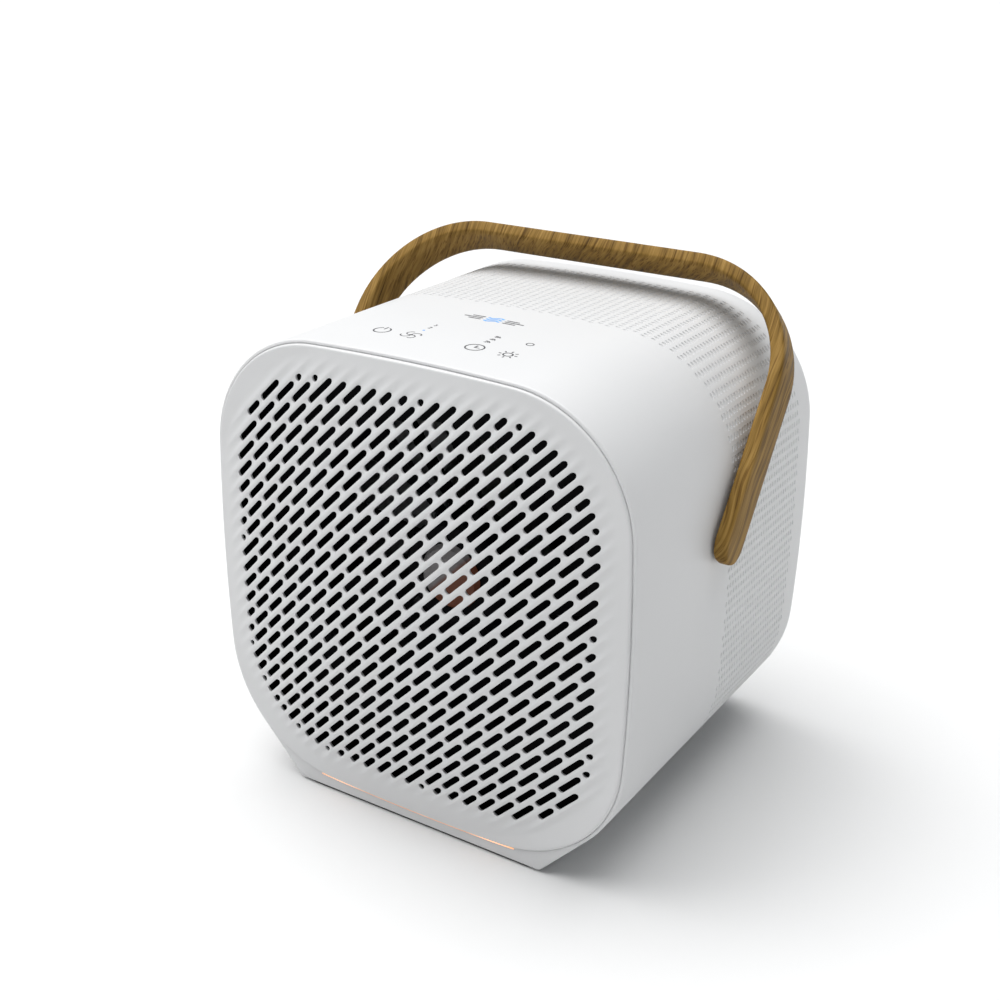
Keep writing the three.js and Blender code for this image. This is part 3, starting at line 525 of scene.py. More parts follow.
def outlineAt(bearing, inset, hasFoot):
    # x, z where the outline crosses each bearing, which runs from the bottom up the right side
    half = rightOutline(inset, hasFoot)
    turn = np.arctan2(half[:, 0], -half[:, 1])
    near = np.where(bearing > math.pi, 2 * math.pi - bearing, bearing)
    x = np.interp(near, turn, half[:, 0]) * np.where(bearing > math.pi, -1, 1)
    return np.stack([x, np.interp(near, turn, half[:, 1]) + bodyForm["axisZ"]], 1)


def topHeight(x):
    # z of the bowed top at each x
    return (bodyForm["axisZ"] + bodyForm["halfHeight"] - bodyForm["topBow"]
            + np.sqrt(bodyForm["topBow"] ** 2 - np.square(x)))


sleeve = {
    "frontRound": 1.0, "lip": 1.48, "lipSlope": (0.1, 0.2), "grooveFloor": 0.35, "webBack": 3.1,
    "wall": 2.5, "mouth": 4.5, "plainY": -30,
    "rearFillet": 13.5, "filletStep": 11.25, "recess": 81, "recessY": 93.05, "hole": 76, "edge": 0.4,
    "jackX": 66, "jackZ": 36, "jackRadius": 4.6, "jackDepth": 12, "jackSteps": 32,
    "dimpleRow": 3.95, "dimpleRowCorner": 1.0, "cornerAt": 87, "cornerSpread": 27, "lowCornerAt": 253,
    "dimplePitch": 2.6, "dimpleStart": 2.2, "dimpleCount": 27, "dimpleDepth": 0.7,
    "dimpleAcross": (-0.31, -0.14, 0.14, 0.31),  # rim and floor, as shares of the row pitch
    "dimpleAlong": (-0.66, -0.3, 0.3, 0.66),
    "dimpleCorner": 0.78,  # the rim's corners are drawn in by this, which rounds it
    "dimpleEnd": 286, "pastDimples": 0.6, "footFlat": 0.8, "footBend": 5.5, "footSteps": (4, 8, 7),
}


def sleeveColumns(form):
    # distance from the middle of the top, and number of its row of dimples, for each column of the right
    # half from the top down: four columns to each row, then the foot's corner and its flat
    half = rightOutline(0, True)[::-1]
    length = np.concatenate([[0], np.cumsum(np.hypot(*np.diff(half, axis=0).T))])
    bulge = np.exp(-((length - form["cornerAt"]) / form["cornerSpread"]) ** 2)
    bulge += np.exp(-((length - form["lowCornerAt"]) / form["cornerSpread"]) ** 2)
    pitch = form["dimpleRow"] + form["dimpleRowCorner"] * bulge
    number = np.concatenate([[0], np.cumsum(np.diff(length) / ((pitch[1:] + pitch[:-1]) / 2))])
    last = int(np.interp(form["dimpleEnd"], length, number))
    steps = (np.arange(0, last + 1)[:, None] + np.array(form["dimpleAcross"])).ravel()
    steps = steps[steps > 0]
    rowEnd = np.interp(last + form["pastDimples"], number, length)
    corner = length[np.argmax(half[:, 1] <= half[-1, 1] + bodyForm["footRound"])]
    bendEnd = corner + form["footBend"]
    before, within, after = form["footSteps"]
    low = np.concatenate([np.linspace(rowEnd, corner, before)[:-1], np.linspace(corner, bendEnd, within),
                          np.linspace(bendEnd, length[-1] - form["footFlat"], after)[1:]])
    places = np.concatenate([np.interp(steps, number, length), low])
    rowNumber = np.concatenate([steps, np.full(len(low), np.nan)])
    return half, length, number, places, rowNumber


def dimpledSkin(form, half, length, number, places, rowNumber):
    # x, y, z of the dimpled area of the right half: each dimple is four columns by four rows of points,
    # its inner four sunk and its corners drawn in; every other row of dimples is moved half a pitch
    nearest = np.round(rowNumber)
    isDimple = ~np.isnan(rowNumber)
    offset = np.where(isDimple, rowNumber - nearest, 0)
    nearly = 0.99
    isRim = np.abs(offset) > nearly * max(form["dimpleAcross"])
    along = np.array(form["dimpleAlong"])
    alongRim = np.abs(along) > nearly * max(along)
    isCorner = (isRim & isDimple)[None, :] & alongRim[:, None]
    isFloor = (~isRim & isDimple)[None, :] & ~alongRim[:, None]
    shrink = np.where(isCorner, form["dimpleCorner"], 1)
    place = np.where(isDimple, np.interp(nearest + offset * shrink, number, length), places)
    shift = np.where(nearest % 2 == 1, form["dimplePitch"] / 2, 0)
    y = form["dimpleStart"] + along[:, None] * shrink + shift
    x, up = np.interp(place, length, half[:, 0]), np.interp(place, length, half[:, 1])
    ahead, behind = place + 0.5, place - 0.5  # the tangent is taken over a millimetre
    tangent = np.stack([np.interp(ahead, length, values) - np.interp(behind, length, values)
                        for values in (half[:, 0], half[:, 1])], -1)
    tangent /= np.linalg.norm(tangent, axis=-1)[..., None]
    depth = form["dimpleDepth"] * isFloor
    x, up = x + tangent[..., 1] * depth, up - tangent[..., 0] * depth
    rows = form["dimplePitch"] * np.arange(form["dimpleCount"])[:, None, None]
    block = np.stack(np.broadcast_arrays(x, y + rows, up + bodyForm["axisZ"]), -1)
    return block.reshape(-1, len(places), 3)


def makeSleeve(form):
    # rows of the outline carried along y from the groove over the front edge and the dimples to the rear
    # fillet, then the flat rear with its hole, the recess and back along the inner wall
    skin = Skin()
    half, length, number, places, rowNumber = sleeveColumns(form)
    right = np.arctan2(np.interp(places, length, half[:, 0]), -np.interp(places, length, half[:, 1]))[::-1]
    bearing = np.concatenate([right, 2 * math.pi - right[::-1]])
    front, rear = bodyForm["frontY"], bodyForm["rearY"]
    rows = []

    def row(inset, y, hasFoot=True):
        rows.append(inPlane(outlineAt(bearing, inset, hasFoot), y))

    fillet = form["rearFillet"]
    for angle in np.radians([90, 60, 30, 0]):
        row(form["wall"] + (fillet - form["wall"]) * (1 - math.cos(angle)),
            rear - fillet + (fillet - form["wall"]) * math.sin(angle))
    row(form["wall"], front + form["webBack"])
    row(form["mouth"], front + form["webBack"], False)
    row(form["mouth"], front + form["grooveFloor"], False)
    inner, outer = form["lipSlope"]
    row(form["lip"] + inner, front + form["grooveFloor"], False)
    row(form["lip"], front + outer, False)
    row(form["lip"] - outer, front, False)
    for angle in np.radians([0, 30, 60, 90]):
        row(form["frontRound"] * (1 - math.sin(angle)), front + form["frontRound"] * (1 - math.cos(angle)))
    row(0, form["plainY"])
    dimpled = dimpledSkin(form, half, length, number, places, rowNumber)
    rows += list(np.concatenate([dimpled[:, ::-1], dimpled * [-1, 1, 1]], 1))
    for angle in np.radians(np.arange(0, 91, form["filletStep"])):
        row(fillet * (1 - math.cos(angle)), rear - fillet + fillet * math.sin(angle))
    index = skin.points(np.concatenate(rows)).reshape(len(rows), -1)
    skin.grid(index)

    rim, recess, edge = index[-1], form["recess"], form["edge"]
    hole, floorY = form["hole"], form["recessY"]
    polar = np.stack([np.sin(bearing), -np.cos(bearing)], 1)
    rings = []
    for radius, level in [(recess + edge, rear), (recess, rear - edge), (recess, floorY),
                          (hole + edge, floorY), (hole, floorY - edge), (hole, rear - form["wall"])]:
        flatRing = polar * radius + [0, bodyForm["axisZ"]]
        rings.append(skin.points(inPlane(flatRing, level)))
    for one, other in zip(rings[:-1], rings[1:]):
        skin.strip(one, other)
    skin.strip(rings[-1], index[0])
    jack = circle(form["jackRadius"], form["jackSteps"], form["jackX"], form["jackZ"])
    mouthRing = skin.points(inPlane(jack, rear))
    floorRing = skin.points(inPlane(jack, rear - form["jackDepth"]))
    skin.strip(mouthRing, floorRing)
    skin.fan(floorRing, (form["jackX"], rear - form["jackDepth"], form["jackZ"]))
    everything = skin.all()
    loops = [everything[loop][:, [0, 2]] for loop in (rim, rings[0], mouthRing)]
    triangles = fillBetween(loops, np.zeros((0, 2)))
    skin.add(np.concatenate([rim, rings[0], mouthRing])[triangles])
    return skin.make("housingSleeve", finish["whiteShell"], "body", "white_shell", ["housing_sleeve"])


makeSleeve(sleeve)

grille = {
    "inset": 1.67, "thick": 1.3, "rise": 14.1, "edgeRise": 1.5, "flatten": 4, "power": 2.5, "least": 1.1,
    "rimRound": 1.1, "rimBack": 1.3, "rimSteps": 240, "rimAngles": (18, 36, 54, 72, 90),
    "fieldZ": 107.93, "fieldHalf": 85.7, "fieldCorner": 46, "ridge": 0.7, "fade": 9,
    "lane": 5.155, "pitch": 14.5, "start": 12.5, "slotsEachWay": 10, "reach": 125, "reachStep": 0.05,
    "slotHalf": 1.33, "slotLength": 12.4, "leastSlot": 2.3, "leastStraight": 0.12, "endSteps": 7,
    "lip": 0.3, "lipShares": ((0.3, 0.3), (0, 1)),  # how far out and how deep each ring of the lip is
    "gridReach": 145, "gridStep": 1.9, "gridLanes": 28, "gridAcross": (0, 0.5, 1.3),
    "rimKeep": 0.9, "slotKeep": 0.3,  # the grid stays this far inside the rim and outside the lips
}


def fieldDistance(form, x, up):
    # signed distance to the rounded square that holds the slots, below 0 inside
    core = form["fieldHalf"] - form["fieldCorner"]
    outX, outZ = np.abs(x) - core, np.abs(up) - core
    outside = np.hypot(np.maximum(outX, 0), np.maximum(outZ, 0))
    return outside + np.minimum(np.maximum(outX, outZ), 0) - form["fieldCorner"]


def grilleFront(form, flat):
    # y of the outer face: a dome whose contours are rounded squares, lower by the square of the way out,
    # with a cosine wave across the 45 degree lanes that fades outside the field
    x, up = flat[:, 0], flat[:, 1] - form["fieldZ"]
    reach = bodyForm["halfWidth"] - form["inset"]
    far = (np.abs(x) ** form["power"] + np.abs(up) ** form["power"]) ** (1 / form["power"]) / reach
    drop = (form["rise"] - form["edgeRise"] + form["flatten"]) * far ** 2 - form["flatten"] * far ** 4
    across = (x - up) * math.sqrt(0.5)
    fading = np.clip(1 - fieldDistance(form, x, up) / form["fade"], 0, 1)
    fading = fading ** 2 * (3 - 2 * fading)
    wave = form["ridge"] / 2 * np.cos(2 * math.pi * across / form["lane"]) * fading
    return bodyForm["frontY"] - np.maximum(form["rise"] - drop, form["least"]) - wave


def slotEnds(form):
    # along, across and half length of every slot: every other lane is moved half a pitch, the end slots run
    # on to the field's border, and the lanes mirror about the rising diagonal
    slots = []
    run = np.arange(-form["reach"], form["reach"], form["reachStep"])
    places = np.arange(-form["slotsEachWay"], form["slotsEachWay"])
    lanes = int(form["fieldHalf"] * math.sqrt(2) / form["lane"]) + 1
    for lane in range(lanes):
        across = (lane + 0.5) * form["lane"]
        x, up = (run + across) * math.sqrt(0.5), (run - across) * math.sqrt(0.5)
        inside = run[fieldDistance(form, x, up) < 0]
        if not len(inside):
            continue
        centres = form["start"] + (places + (lane % 2) / 2) * form["pitch"]
        low = np.maximum(centres - form["slotLength"] / 2, inside.min())
        high = np.minimum(centres + form["slotLength"] / 2, inside.max())
        kept = high - low > form["leastSlot"]
        low, high = low[kept], high[kept]
        low[0], high[-1] = inside.min(), inside.max()
        middle, half = (low + high) / 2, (high - low) / 2
        for side in (-1, 1):
            slots.append(np.stack([middle, np.full(len(low), side * across), half], 1))
    return np.concatenate(slots)


def stadiums(form, slots, grow):
    # a closed loop round each slot, grown by grow: two half circles and the middles of the long sides
    half = np.minimum(form["slotHalf"], slots[:, 2])
    straight = np.maximum(slots[:, 2] - half, form["leastStraight"])
    angle = np.linspace(-math.pi / 2, math.pi / 2, form["endSteps"])
    radius = (half + grow)[:, None]
    right = np.stack([straight[:, None] + radius * np.cos(angle), radius * np.sin(angle)], -1)
    middle = np.stack([np.zeros((len(slots), 1)), radius], -1)
    loop = np.concatenate([right, middle, -right, -middle], 1)
    along, across = loop[..., 0] + slots[:, :1], loop[..., 1] + slots[:, 1:2]
    return np.stack([along + across, along - across], -1) * math.sqrt(0.5) + [0, form["fieldZ"]]


def addWalls(skin, one, other):
    # quads between matching closed loops, one loop to a row
    skin.add(np.stack([one, other, np.roll(other, -1, 1), np.roll(one, -1, 1)], -1).reshape(-1, 4))


def faceGrid(form, slots):
    # points between the slots, in rows along the lanes, clear of the rim and of every lip
    edge = np.array(form["gridAcross"])
    offsets = np.concatenate([edge, [form["lane"] / 2], form["lane"] - edge[:0:-1]])
    lanes = np.arange(-form["gridLanes"], form["gridLanes"])
    across = (lanes[:, None] * form["lane"] + offsets).ravel()
    along = np.arange(-form["gridReach"], form["gridReach"], form["gridStep"])
    grid = np.stack(np.meshgrid(along, across), -1).reshape(-1, 2)
    flat = np.stack([grid[:, 0] + grid[:, 1], grid[:, 0] - grid[:, 1]], 1) * math.sqrt(0.5)
    flat[:, 1] += form["fieldZ"]
    turn = np.mod(np.arctan2(flat[:, 0], bodyForm["axisZ"] - flat[:, 1]), 2 * math.pi)
    limit = outlineAt(turn, form["inset"] + form["rimRound"] + form["rimKeep"], False)
    middle = np.array([0, bodyForm["axisZ"]])
    kept = np.hypot(*(flat - middle).T) < np.hypot(*(limit - middle).T)
    for part in np.array_split(slots, 8):  # in parts, to keep the arrays small
        run = np.abs(grid[:, None, 0] - part[:, 0]) - np.maximum(part[:, 2] - form["slotHalf"], 0)
        away = np.hypot(np.maximum(run, 0), grid[:, None, 1] - part[:, 1])
        kept &= (away > form["slotHalf"] + form["lip"] + form["slotKeep"]).all(1)
    return flat[kept]


def makeGrille(form):
    # the face between the rim and the slots is triangulated flat, lifted onto the ridged dome and given its
    # thickness; a lip turns in round each slot and a quarter round runs along the rim
    skin = Skin()
    slots = slotEnds(form)
    bearing = np.linspace(0, 2 * math.pi, form["rimSteps"], endpoint=False)
    rimFlat = outlineAt(bearing, form["inset"] + form["rimRound"], False)
    loops = stadiums(form, slots, form["lip"])
    extra = faceGrid(form, slots)
    everything = np.concatenate([rimFlat, loops.reshape(-1, 2), extra])
    triangles = fillBetween([rimFlat, *loops], extra)
    y = grilleFront(form, everything)
    face = skin.points(inPlane(everything, y))
    back = skin.points(inPlane(everything, y + form["thick"]))
    skin.add(face[triangles])
    skin.add(back[triangles[:, ::-1]])

    number = len(rimFlat) + np.arange(loops.size // 2).reshape(loops.shape[:2])
    previous = face[number]
    for out, deep in form["lipShares"]:
        ring = stadiums(form, slots, out * form["lip"]).reshape(-1, 2)
        sunk = y[number].ravel() + deep * form["lip"]
        wall = skin.points(inPlane(ring, sunk)).reshape(number.shape)
        addWalls(skin, previous, wall)
        previous = wall
    addWalls(skin, previous, back[number])

    previous, rimY = face[: len(rimFlat)], y[: len(rimFlat)]
    for angle in np.radians(form["rimAngles"]):
        ring = outlineAt(bearing, form["inset"] + form["rimRound"] * (1 - math.sin(angle)), False)
        edge = skin.points(inPlane(ring, rimY + form["rimRound"] * (1 - math.cos(angle))))
        skin.strip(previous, edge)
        previous = edge
    ring = outlineAt(bearing, form["inset"], False)
    low = skin.points(inPlane(ring, bodyForm["frontY"] + form["rimBack"]))
    skin.strip(previous, low)
    skin.strip(low, back[: len(rimFlat)])
    return skin.make("outletGrille", finish["whiteShell"], "body", "white_shell", ["front_grille"], sharp=60)


makeGrille(grille)

bail = {
    "thick": 6.3, "breadth": 19.1, "reach": 113.1, "corner": 50, "toeIn": 1, "lean": 38.1, "x": 103.83,
    "pivotY": -8.63, "pivotZ": 131.94, "power": 5.9, "endPowers": (10, 0.3),
    "around": 56, "straightSteps": 13, "bendSteps": 27,
}


def makeHandle(form):
    # a superellipse section carried up one leg, round the corner and over the bar, mirrored for the other
    # leg; past the pivots its breadth follows a half circle and its thickness a steep superellipse
    endRadius = form["breadth"] / 2
    topX = form["x"] - form["toeIn"]
    legTop = form["reach"] - form["corner"]
    bendX = topX - form["corner"]
    steps = form["straightSteps"]
    down = endRadius * np.sin(np.linspace(math.pi / 2, 0, steps + 1)[1:])
    tip = np.stack([np.full(steps, form["x"]), -down], 1)
    leg = np.linspace([form["x"], 0], [topX, legTop], steps + 1)[1:]
    bend = np.linspace(0, math.pi / 2, form["bendSteps"] + 1)[1:]
    corner = np.array([bendX, legTop]) + form["corner"] * np.stack([np.cos(bend), np.sin(bend)], 1)
    bar = np.linspace([bendX, form["reach"]], [0, form["reach"]], steps + 1)[1:]
    right = np.concatenate([tip, leg, corner, bar])
    path = np.concatenate([right, (right * [-1, 1])[-2::-1]])
    along = np.gradient(path, axis=0)
    along /= np.linalg.norm(along, axis=1)[:, None]
    along[: len(tip)] = [0, 1]
    along[-len(tip):] = [0, -1]
    outward = np.stack([along[:, 1], -along[:, 0]], 1)
    past = np.clip(-path[:, 1], 0, endRadius) / endRadius
    breadth = endRadius * np.sqrt(1 - past ** 2)
    steep, root = form["endPowers"]
    thick = form["thick"] / 2 * (1 - past ** steep) ** root
    angle = np.linspace(0, 2 * math.pi, form["around"], endpoint=False)
    power = 2 / form["power"]
    sectionOut = np.sign(np.cos(angle)) * np.abs(np.cos(angle)) ** power
    sectionWide = np.sign(np.sin(angle)) * np.abs(np.sin(angle)) ** power
    out = thick[:, None] * sectionOut
    x = path[:, :1] + outward[:, :1] * out
    up = path[:, 1:] + outward[:, 1:] * out
    deep = breadth[:, None] * sectionWide
    lean = math.radians(form["lean"])
    y = form["pivotY"] + deep * math.cos(lean) + up * math.sin(lean)
    z = form["pivotZ"] - deep * math.sin(lean) + up * math.cos(lean)
    skin = Skin()
    index = skin.points(np.stack([x, y, z], -1)).reshape(len(path), -1)
    skin.grid(index)
    poleY = form["pivotY"] - endRadius * math.sin(lean)
    poleZ = form["pivotZ"] - endRadius * math.cos(lean)
    for rim, side in ((index[0], 1), (index[-1], -1)):
        skin.fan(rim, (side * form["x"], poleY, poleZ))
    return skin.make("handleBail", finish["oak"], "handle", "oak", ["handle"], sharp=70)


makeHandle(bail)

cover = {
    "radius": 80.6, "front": 93.35, "back": 94.55, "round": 0.5, "steps": 160,
    "slotHalf": 1.6, "slotSteps": 8, "rings": ((32, 48, 16), (52, 69, 24)),  # from, to, how many
    "rounds": (28, 50, 72.5), "roundSteps": 144,  # extra circles of points between the slots
    "spigot": (73.3, 75.5, 82.5), "spigotOverlap": 0.2,
    "bowl": 23.6, "bowlDepth": 85.9, "bowlSteps": 96, "bowlRound": 3, "bowlWall": 1.5, "bowlFloor": 1.9,
    "bowlOverlap": 0.1, "bowlBend": 1,
    "barHalf": (24.2, 3.5), "barPower": 0.5, "barWaist": 0.12, "barSink": 1, "barSteps": (12, 24),
}


def coverSlots(form):
    # closed loops of the radial slots: two half circles joined by straight sides, turned about the axis
    angle = np.linspace(-math.pi / 2, math.pi / 2, form["slotSteps"])
    half = form["slotHalf"]
    slots = []
    for inner, outer, count in form["rings"]:
        end = np.stack([(outer - inner) / 2 - half + half * np.cos(angle), half * np.sin(angle)], 1)
        loop = np.concatenate([end, -end]) + [(inner + outer) / 2, 0]
        for turn in (np.arange(count) + 0.5) * 2 * math.pi / count:
            cos, sin = math.cos(turn), math.sin(turn)
            slots.append(loop @ np.array([[cos, sin], [-sin, cos]]) + [0, bodyForm["axisZ"]])
    return slots


def addBar(skin, form):
    # a superellipse section carried across the bowl, a little slimmer at the middle
    axis, deep = bodyForm["axisZ"], form["bowlDepth"]
    halfX, halfZ = form["barHalf"]
    along, around = form["barSteps"]
    low, high = deep - form["barSink"], form["back"]
    middleY, halfY = (low + high) / 2, (high - low) / 2
    angle = np.linspace(0, 2 * math.pi, around, endpoint=False)
    sectionZ = np.sign(np.cos(angle)) * np.abs(np.cos(angle)) ** form["barPower"] * halfZ
    sectionY = np.sign(np.sin(angle)) * np.abs(np.sin(angle)) ** form["barPower"] * halfY
    x = np.linspace(-halfX, halfX, along)[:, None]
    z = axis + sectionZ * (1 - form["barWaist"] * np.cos(math.pi * x / (2 * halfX)))
    index = skin.points(np.stack(np.broadcast_arrays(x, middleY + sectionY, z), -1)).reshape(along, around)
    skin.grid(index)
    for end, side in ((index[0], -1), (index[-1], 1)):
        skin.fan(end, (side * halfX, middleY, axis))


def makeRearCover(form):
    # a thin disc with radial slots round a deep bowl, with a bar across it, and a spigot in front
    skin = Skin()
    axis = bodyForm["axisZ"]
    outer = circle(form["radius"] - form["round"], form["steps"], 0, axis)
    bowl = circle(form["bowl"] + form["round"], form["bowlSteps"], 0, axis)
    rounds = np.concatenate([circle(radius, form["roundSteps"], 0, axis) for radius in form["rounds"]])
    loops = [outer, bowl, *coverSlots(form)]
    everything = np.concatenate([*loops, rounds])
    triangles = fillBetween(loops, rounds)
    rear = skin.points(inPlane(everything, form["back"]))
    front = skin.points(inPlane(everything, form["front"]))
    skin.add(rear[triangles[:, ::-1]])
    skin.add(front[triangles])
    rounded = {0: (form["radius"], form["steps"]), 1: (form["bowl"], form["bowlSteps"])}
    start = 0
    for number, loop in enumerate(loops):
        around = np.arange(start, start + len(loop))
        start += len(loop)
        edge = rear[around]
        if number in rounded:
            ring = circle(*rounded[number], 0, axis)
            edge = skin.points(inPlane(ring, form["back"] - form["round"]))
            skin.strip(rear[around], edge)
        skin.strip(edge, front[around])
    inner, outerRing, low = form["spigot"]
    high = form["front"] + form["spigotOverlap"]
    ring = [(inner, low), (outerRing, low), (outerRing, high), (inner, high)]
    turnedShell(skin, ring, form["steps"], axis)
    radius, deep, bend = form["bowl"], form["bowlDepth"], form["bowlRound"]
    wall, below = radius + form["bowlWall"], deep - form["bowlFloor"]
    top = form["front"] + form["bowlOverlap"]
    quarter = [(radius - bend + bend * math.sin(angle), deep + bend - bend * math.cos(angle))
               for angle in np.radians([0, 22, 45, 68, 90])]
    outside = [(wall, top), (wall, deep), (radius - form["bowlBend"], below), (0, below)]
    turnedShell(skin, [(0, deep), *quarter, (radius, top), *outside], form["bowlSteps"], axis)
    addBar(skin, form)
    return skin.make("rearCover", finish["whiteShell"], "rear_cover", "white_shell",
                     ["rear_cover"], sharp=40)


makeRearCover(cover)

lightStrip = {"half": 50, "insets": (0.98, 1.72), "front": 0.1, "edge": 0.2, "deep": 4.5, "steps": 60}


def makeLightStrip(form):
    # a six-sided section carried along the arc of the body's lower edge
    span = np.linspace(-form["half"], form["half"], form["steps"])
    radius = bodyForm["topBow"]
    centreZ = bodyForm["axisZ"] - bodyForm["halfHeight"] + radius
    face, back = bodyForm["frontY"] - form["front"], bodyForm["frontY"] + form["deep"]
    edge = face + form["edge"]
    low, high = form["insets"]
    quarter = (high - low) / 4
    section = [(low, back), (low, edge), (low + quarter, face),
               (high - quarter, face), (high, edge), (high, back)]
    rows = [np.stack([span, np.full(len(span), y), centreZ - np.sqrt((radius - inset) ** 2 - span ** 2)], 1)
            for inset, y in section]
    skin = Skin()
    index = skin.points(np.concatenate(rows)).reshape(len(section), -1)
    skin.grid(index.T)
    for end in (index[:, 0], index[:, -1]):
        skin.add([end])
    return skin.make("nightLightStrip", finish["amberLight"], "body", "amber_light", ["night_light_guide"])


makeLightStrip(lightStrip)

symbols = {
    "line": 0.62, "thin": 0.46, "high": 0.05, "sunk": 0.06,
    "power": (-31, -55), "fan": (-17, -55), "timer": (13, -55), "light": (28, -55),
    "digitSize": 0.95, "digitPitch": 1.55, "digitLine": 0.391,
    "fanLevels": (-16.5, (-47, -42.6, -38.6)), "timerHours": (13.1, (-46.1, -42.3, -38.5)),
    "lamp": (28, -39),
    "streams": (-1.5, -19), "streamLine": 0.8, "streamStart": 5.2,
    "streamRows": ((-1.9, 6), (0, 9), (1.9, 6)),  # height and length
    "waveRows": (-2.1, 0, 2.1), "waveHalf": 3.6, "waveRise": 0.8, "waveLine": 1.0,
}
digits = {
    "2": [(-0.55, 1.6), (-0.3, 1.95), (0.3, 1.95), (0.55, 1.6), (0.5, 1.2), (-0.6, 0), (0.65, 0)],
    "3": [(-0.5, 1.7), (0, 2), (0.5, 1.6), (0, 1.05), (0.55, 0.5), (0, 0), (-0.55, 0.35)],
    "4": [(0.3, 0), (0.3, 2), (-0.6, 0.6), (0.7, 0.6)],
    "8": [(0, 1.05), (0.5, 1.55), (0, 2), (-0.5, 1.55), (0, 1.05),
          (0.6, 0.5), (0, 0), (-0.6, 0.5), (0, 1.05)],
    "h": [(-0.45, 2), (-0.45, 0), (-0.45, 0.9), (0, 1.25), (0.4, 0.9), (0.4, 0)],
}


def stroke(skin, path, width, form, closed=False):
    # a line of ink: a flat ribbon along the path, laid on the bowed top
    path = np.asarray(path, float)
    if closed:
        along = np.roll(path, -1, 0) - np.roll(path, 1, 0)
    else:
        along = np.gradient(path, axis=0)
    along /= np.linalg.norm(along, axis=1)[:, None]
    side = np.stack([-along[:, 1], along[:, 0]], 1) * width / 2
    edges = [path + side, path - side, path - side, path + side]
    lifts = [form["high"], form["high"], -form["sunk"], -form["sunk"]]
    rows = [np.column_stack([edge, topHeight(edge[:, 0]) + lift]) for edge, lift in zip(edges, lifts)]
    index = skin.points(np.concatenate(rows)).reshape(4, -1).T
    skin.grid(index, closedRows=closed)
    if not closed:
        skin.add([index[0]])
        skin.add([index[-1]])


def bow(centre, radius, start, end, count):
    # points of an arc between two angles in degrees
    angle = np.radians(np.linspace(start, end, count))
    return np.stack([centre[0] + radius * np.cos(angle), centre[1] + radius * np.sin(angle)], 1)


def turnBy(degrees):
    # turns rows of x, y anticlockwise about the origin
    cos, sin = math.cos(math.radians(degrees)), math.sin(math.radians(degrees))
    return np.array([[cos, sin], [-sin, cos]])


def addWriting(skin, text, x, y, form):
    # each sign's strokes, spaced evenly about x
    size = form["digitSize"]
    for place, letter in enumerate(text):
        centre = x + (place - (len(text) - 1) / 2) * form["digitPitch"] * size
        stroke(skin, np.array(digits[letter]) * size + [centre, y - size], form["digitLine"], form)


def addPower(skin, form):
    # a ring that is open at the top, with an upright bar in the gap
    x, y = form["power"]
    stroke(skin, bow((x, y), 3.5, 115, 425, 40), form["line"], form)
    stroke(skin, [(x, y + 1.2), (x, y + 2.8), (x, y + 4.3)], form["line"], form)


def addFan(skin, form):
    # four open blades, each a long arc and a short one
    longArc, shortArc = bow((2.1, 0.6), 2.0, 215, 10, 14), bow((2.6, 0.9), 1.5, 330, 395, 6)
    for turn in (10, 100, 190, 280):
        for arc in (longArc, shortArc):
            stroke(skin, arc @ turnBy(turn) + form["fan"], form["thin"], form)


def addTimer(skin, form):
    # a clock face with its two hands
    x, y = form["timer"]
    stroke(skin, bow((x, y), 3.8, 0, 351, 40), form["line"], form, closed=True)
    stroke(skin, [(x, y + 2.4), (x, y + 1), (x, y - 0.3)], form["line"], form)
    stroke(skin, [(x - 0.2, y - 0.1), (x + 1, y - 0.1), (x + 2.1, y - 0.1)], form["line"], form)


def addLight(skin, form):
    # a ring with eight rays
    stroke(skin, bow(form["light"], 1.9, 0, 345, 24), form["line"], form, closed=True)
    for turn in range(0, 360, 45):
        ray = np.array([(2.9, 0), (3.5, 0), (4.1, 0)]) @ turnBy(turn) + form["light"]
        stroke(skin, ray, form["line"], form)


def addStreams(skin, form):
    # three straight lines on each side of the mark
    x, y = form["streams"]
    for side in (-1, 1):
        for rise, length in form["streamRows"]:
            run = x + side * np.linspace(form["streamStart"], form["streamStart"] + length, 8)
            stroke(skin, np.stack([run, np.full(8, y + rise)], 1), form["streamLine"], form)


def addWaves(skin, form):
    # one turn of a sine in each of three rows, between the straight lines
    x, y = form["streams"]
    sweep = np.linspace(-form["waveHalf"], form["waveHalf"], 24)
    wave = form["waveRise"] * np.sin(sweep * math.pi / form["waveHalf"])
    for rise in form["waveRows"]:
        stroke(skin, np.stack([x + sweep, y + rise + wave], 1), form["waveLine"], form)


def makeSymbols(form):
    # grey marks in one piece, and the blue waves and the first level's dot in another
    grey, blue = Skin(), Skin()
    for addMark in (addPower, addFan, addTimer, addLight):
        addMark(grey, form)
    x, places = form["fanLevels"]
    for place, text in zip(places[1:], ("2", "3")):
        addWriting(grey, text, x, place, form)
    stroke(blue, bow((x, places[0]), 0.35, 0, 345, 12), 0.5, form, closed=True)
    x, places = form["timerHours"]
    for place, text in zip(places, ("2h", "4h", "8h")):
        addWriting(grey, text, x, place, form)
    stroke(grey, bow(form["lamp"], 1.5, 0, 345, 24), form["thin"], form, closed=True)
    addStreams(grey, form)
    addWaves(blue, form)
    grey.make("touchSymbols", finish["symbolGrey"], "body", "grey_plastic", sharp=30)
    blue.make("streamSymbol", finish["symbolBlue"], "body", "grey_plastic", sharp=30)


makeSymbols(symbols)

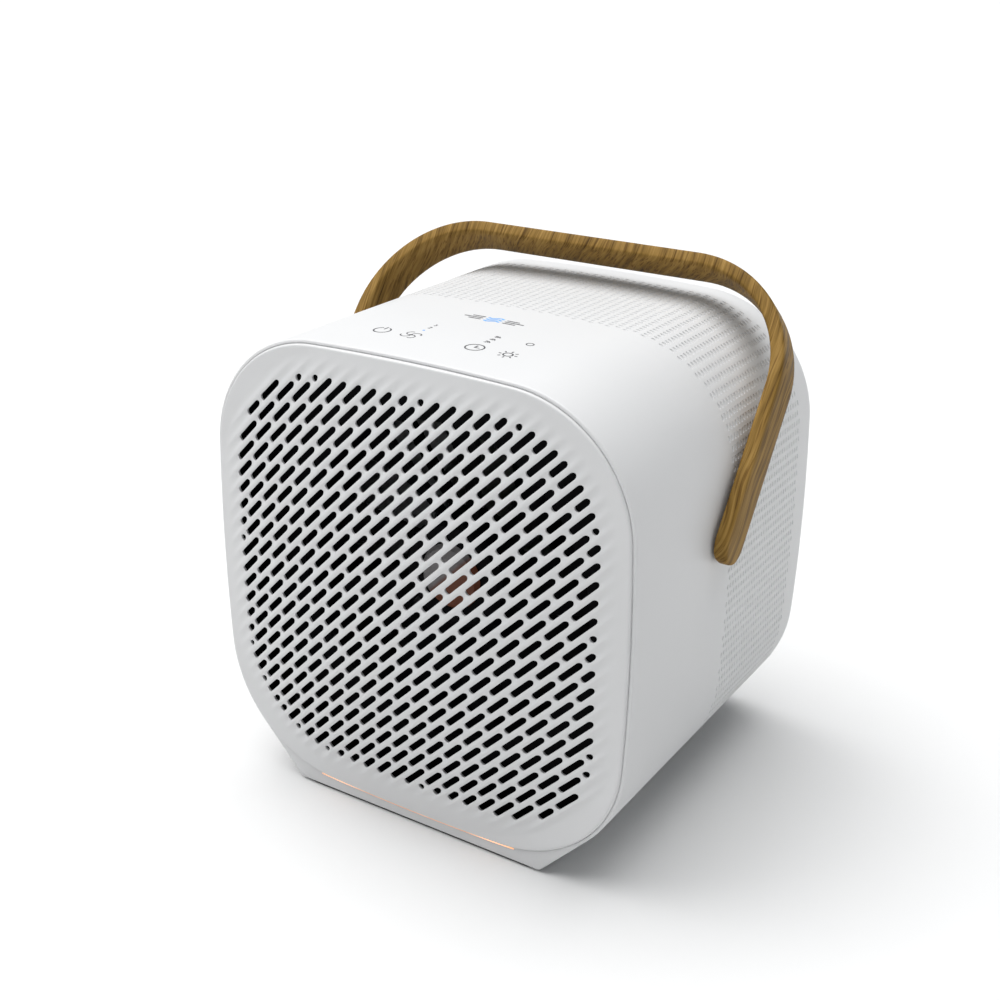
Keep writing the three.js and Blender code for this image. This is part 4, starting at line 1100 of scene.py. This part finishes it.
screwNumbers = range(1, 5)
sides = ("left", "right")
touches = ("power", "fan", "timer", "light")
nodeFinish = {
    # the fan and interior parts take the darkened black, which paints the shade inside the body as well as
    # their black plastic
    "blackPlasticAndPaintedShade": [
        "fan_shroud", "impeller", "filter_front_ring", "filter_rear_cap", "dc_inlet",
        "capacitor_large", "capacitor_small", "voltage_regulator",
        *(f"pivot_bush_{side}" for side in sides),
    ],
    "innerPlastic": ["filter_bulkhead"],
    "rubber": ["base_pad"],
    "steel": [
        "bearing_front", "bearing_rear", "stator_core", "rotor_bell", "motor_shaft",
        *(f"{plate}_screw_{number}" for plate in ("shroud", "bulkhead") for number in screwNumbers),
        *(f"pivot_{part}_{side}" for part in ("pin", "clip") for side in sides),
        *(f"touch_spring_{touch}" for touch in touches),
    ],
    "brass": ["motor_base"],
    "copper": ["stator_winding", "choke_coil"],
    "magnet": ["rotor_magnet"],
    "circuitBoard": ["control_board", "power_board", "motor_driver_board", "night_light_board"],
    "filterPaper": ["filter_media"],
    "foam": ["filter_gasket"],
    "meshCloth": ["prefilter_mesh", "filter_pull_tab"],
    "hubFace": ["hub_cap"],
}
for name, members in nodeFinish.items():
    for member in members:
        for place in nodes[member].material_slots:
            place.material = finish[name]
print("CAD pieces finished")

studio = {
    "floorHalf": 20000, "floorSteps": 8, "world": 0.30, "worldColour": (0.94, 0.978, 1.0),
    "suns": (
        {
            "name": "overheadLight", "from": (-0.1, 0, 1), "power": 2.9, "spread": 62,
            "colour": (1, 1, 1),
        },
        {
            "name": "leftLight", "from": (-0.65, -0.12, 0.75), "power": 1.35, "spread": 60,
            "colour": (1, 0.99, 0.98),
        },
    ),
}


def makeFloor(setup):
    # a flat square of even quads at height 0
    half, count = setup["floorHalf"] * mm, setup["floorSteps"] + 1
    side = np.linspace(-half, half, count)
    x, y = (values.ravel() for values in np.meshgrid(side, side))
    number = np.arange(count ** 2).reshape(count, count)
    quads = np.stack([number[:-1, :-1], number[:-1, 1:], number[1:, 1:], number[1:, :-1]], -1).reshape(-1, 4)
    mesh = bpy.data.meshes.new("studioFloor")
    mesh.from_pydata(np.column_stack([x, y, np.zeros(count ** 2)]).tolist(), [], quads.tolist())
    mesh.materials.append(finish["paleFloor"])
    floor = bpy.data.objects.new("studioFloor", mesh)
    scene.collection.objects.link(floor)


def makeLights(setup):
    # an even sky and broad suns, each shining from its own direction
    world = bpy.data.worlds.new("studioWorld")
    world.use_nodes = True
    sky = world.node_tree.nodes["Background"]
    sky.inputs["Color"].default_value = (*setup["worldColour"], 1)
    sky.inputs["Strength"].default_value = setup["world"]
    scene.world = world
    for look in setup["suns"]:
        data = bpy.data.lights.new(look["name"], "SUN")
        data.energy = look["power"]
        data.angle = math.radians(look["spread"])
        data.color = look["colour"]
        sun = bpy.data.objects.new(look["name"], data)
        scene.collection.objects.link(sun)
        sun.rotation_mode = "QUATERNION"
        sun.rotation_quaternion = Vector(look["from"]).to_track_quat("Z", "Y")


makeFloor(studio)
makeLights(studio)
scene.view_settings.view_transform = "Standard"
print("studio made")
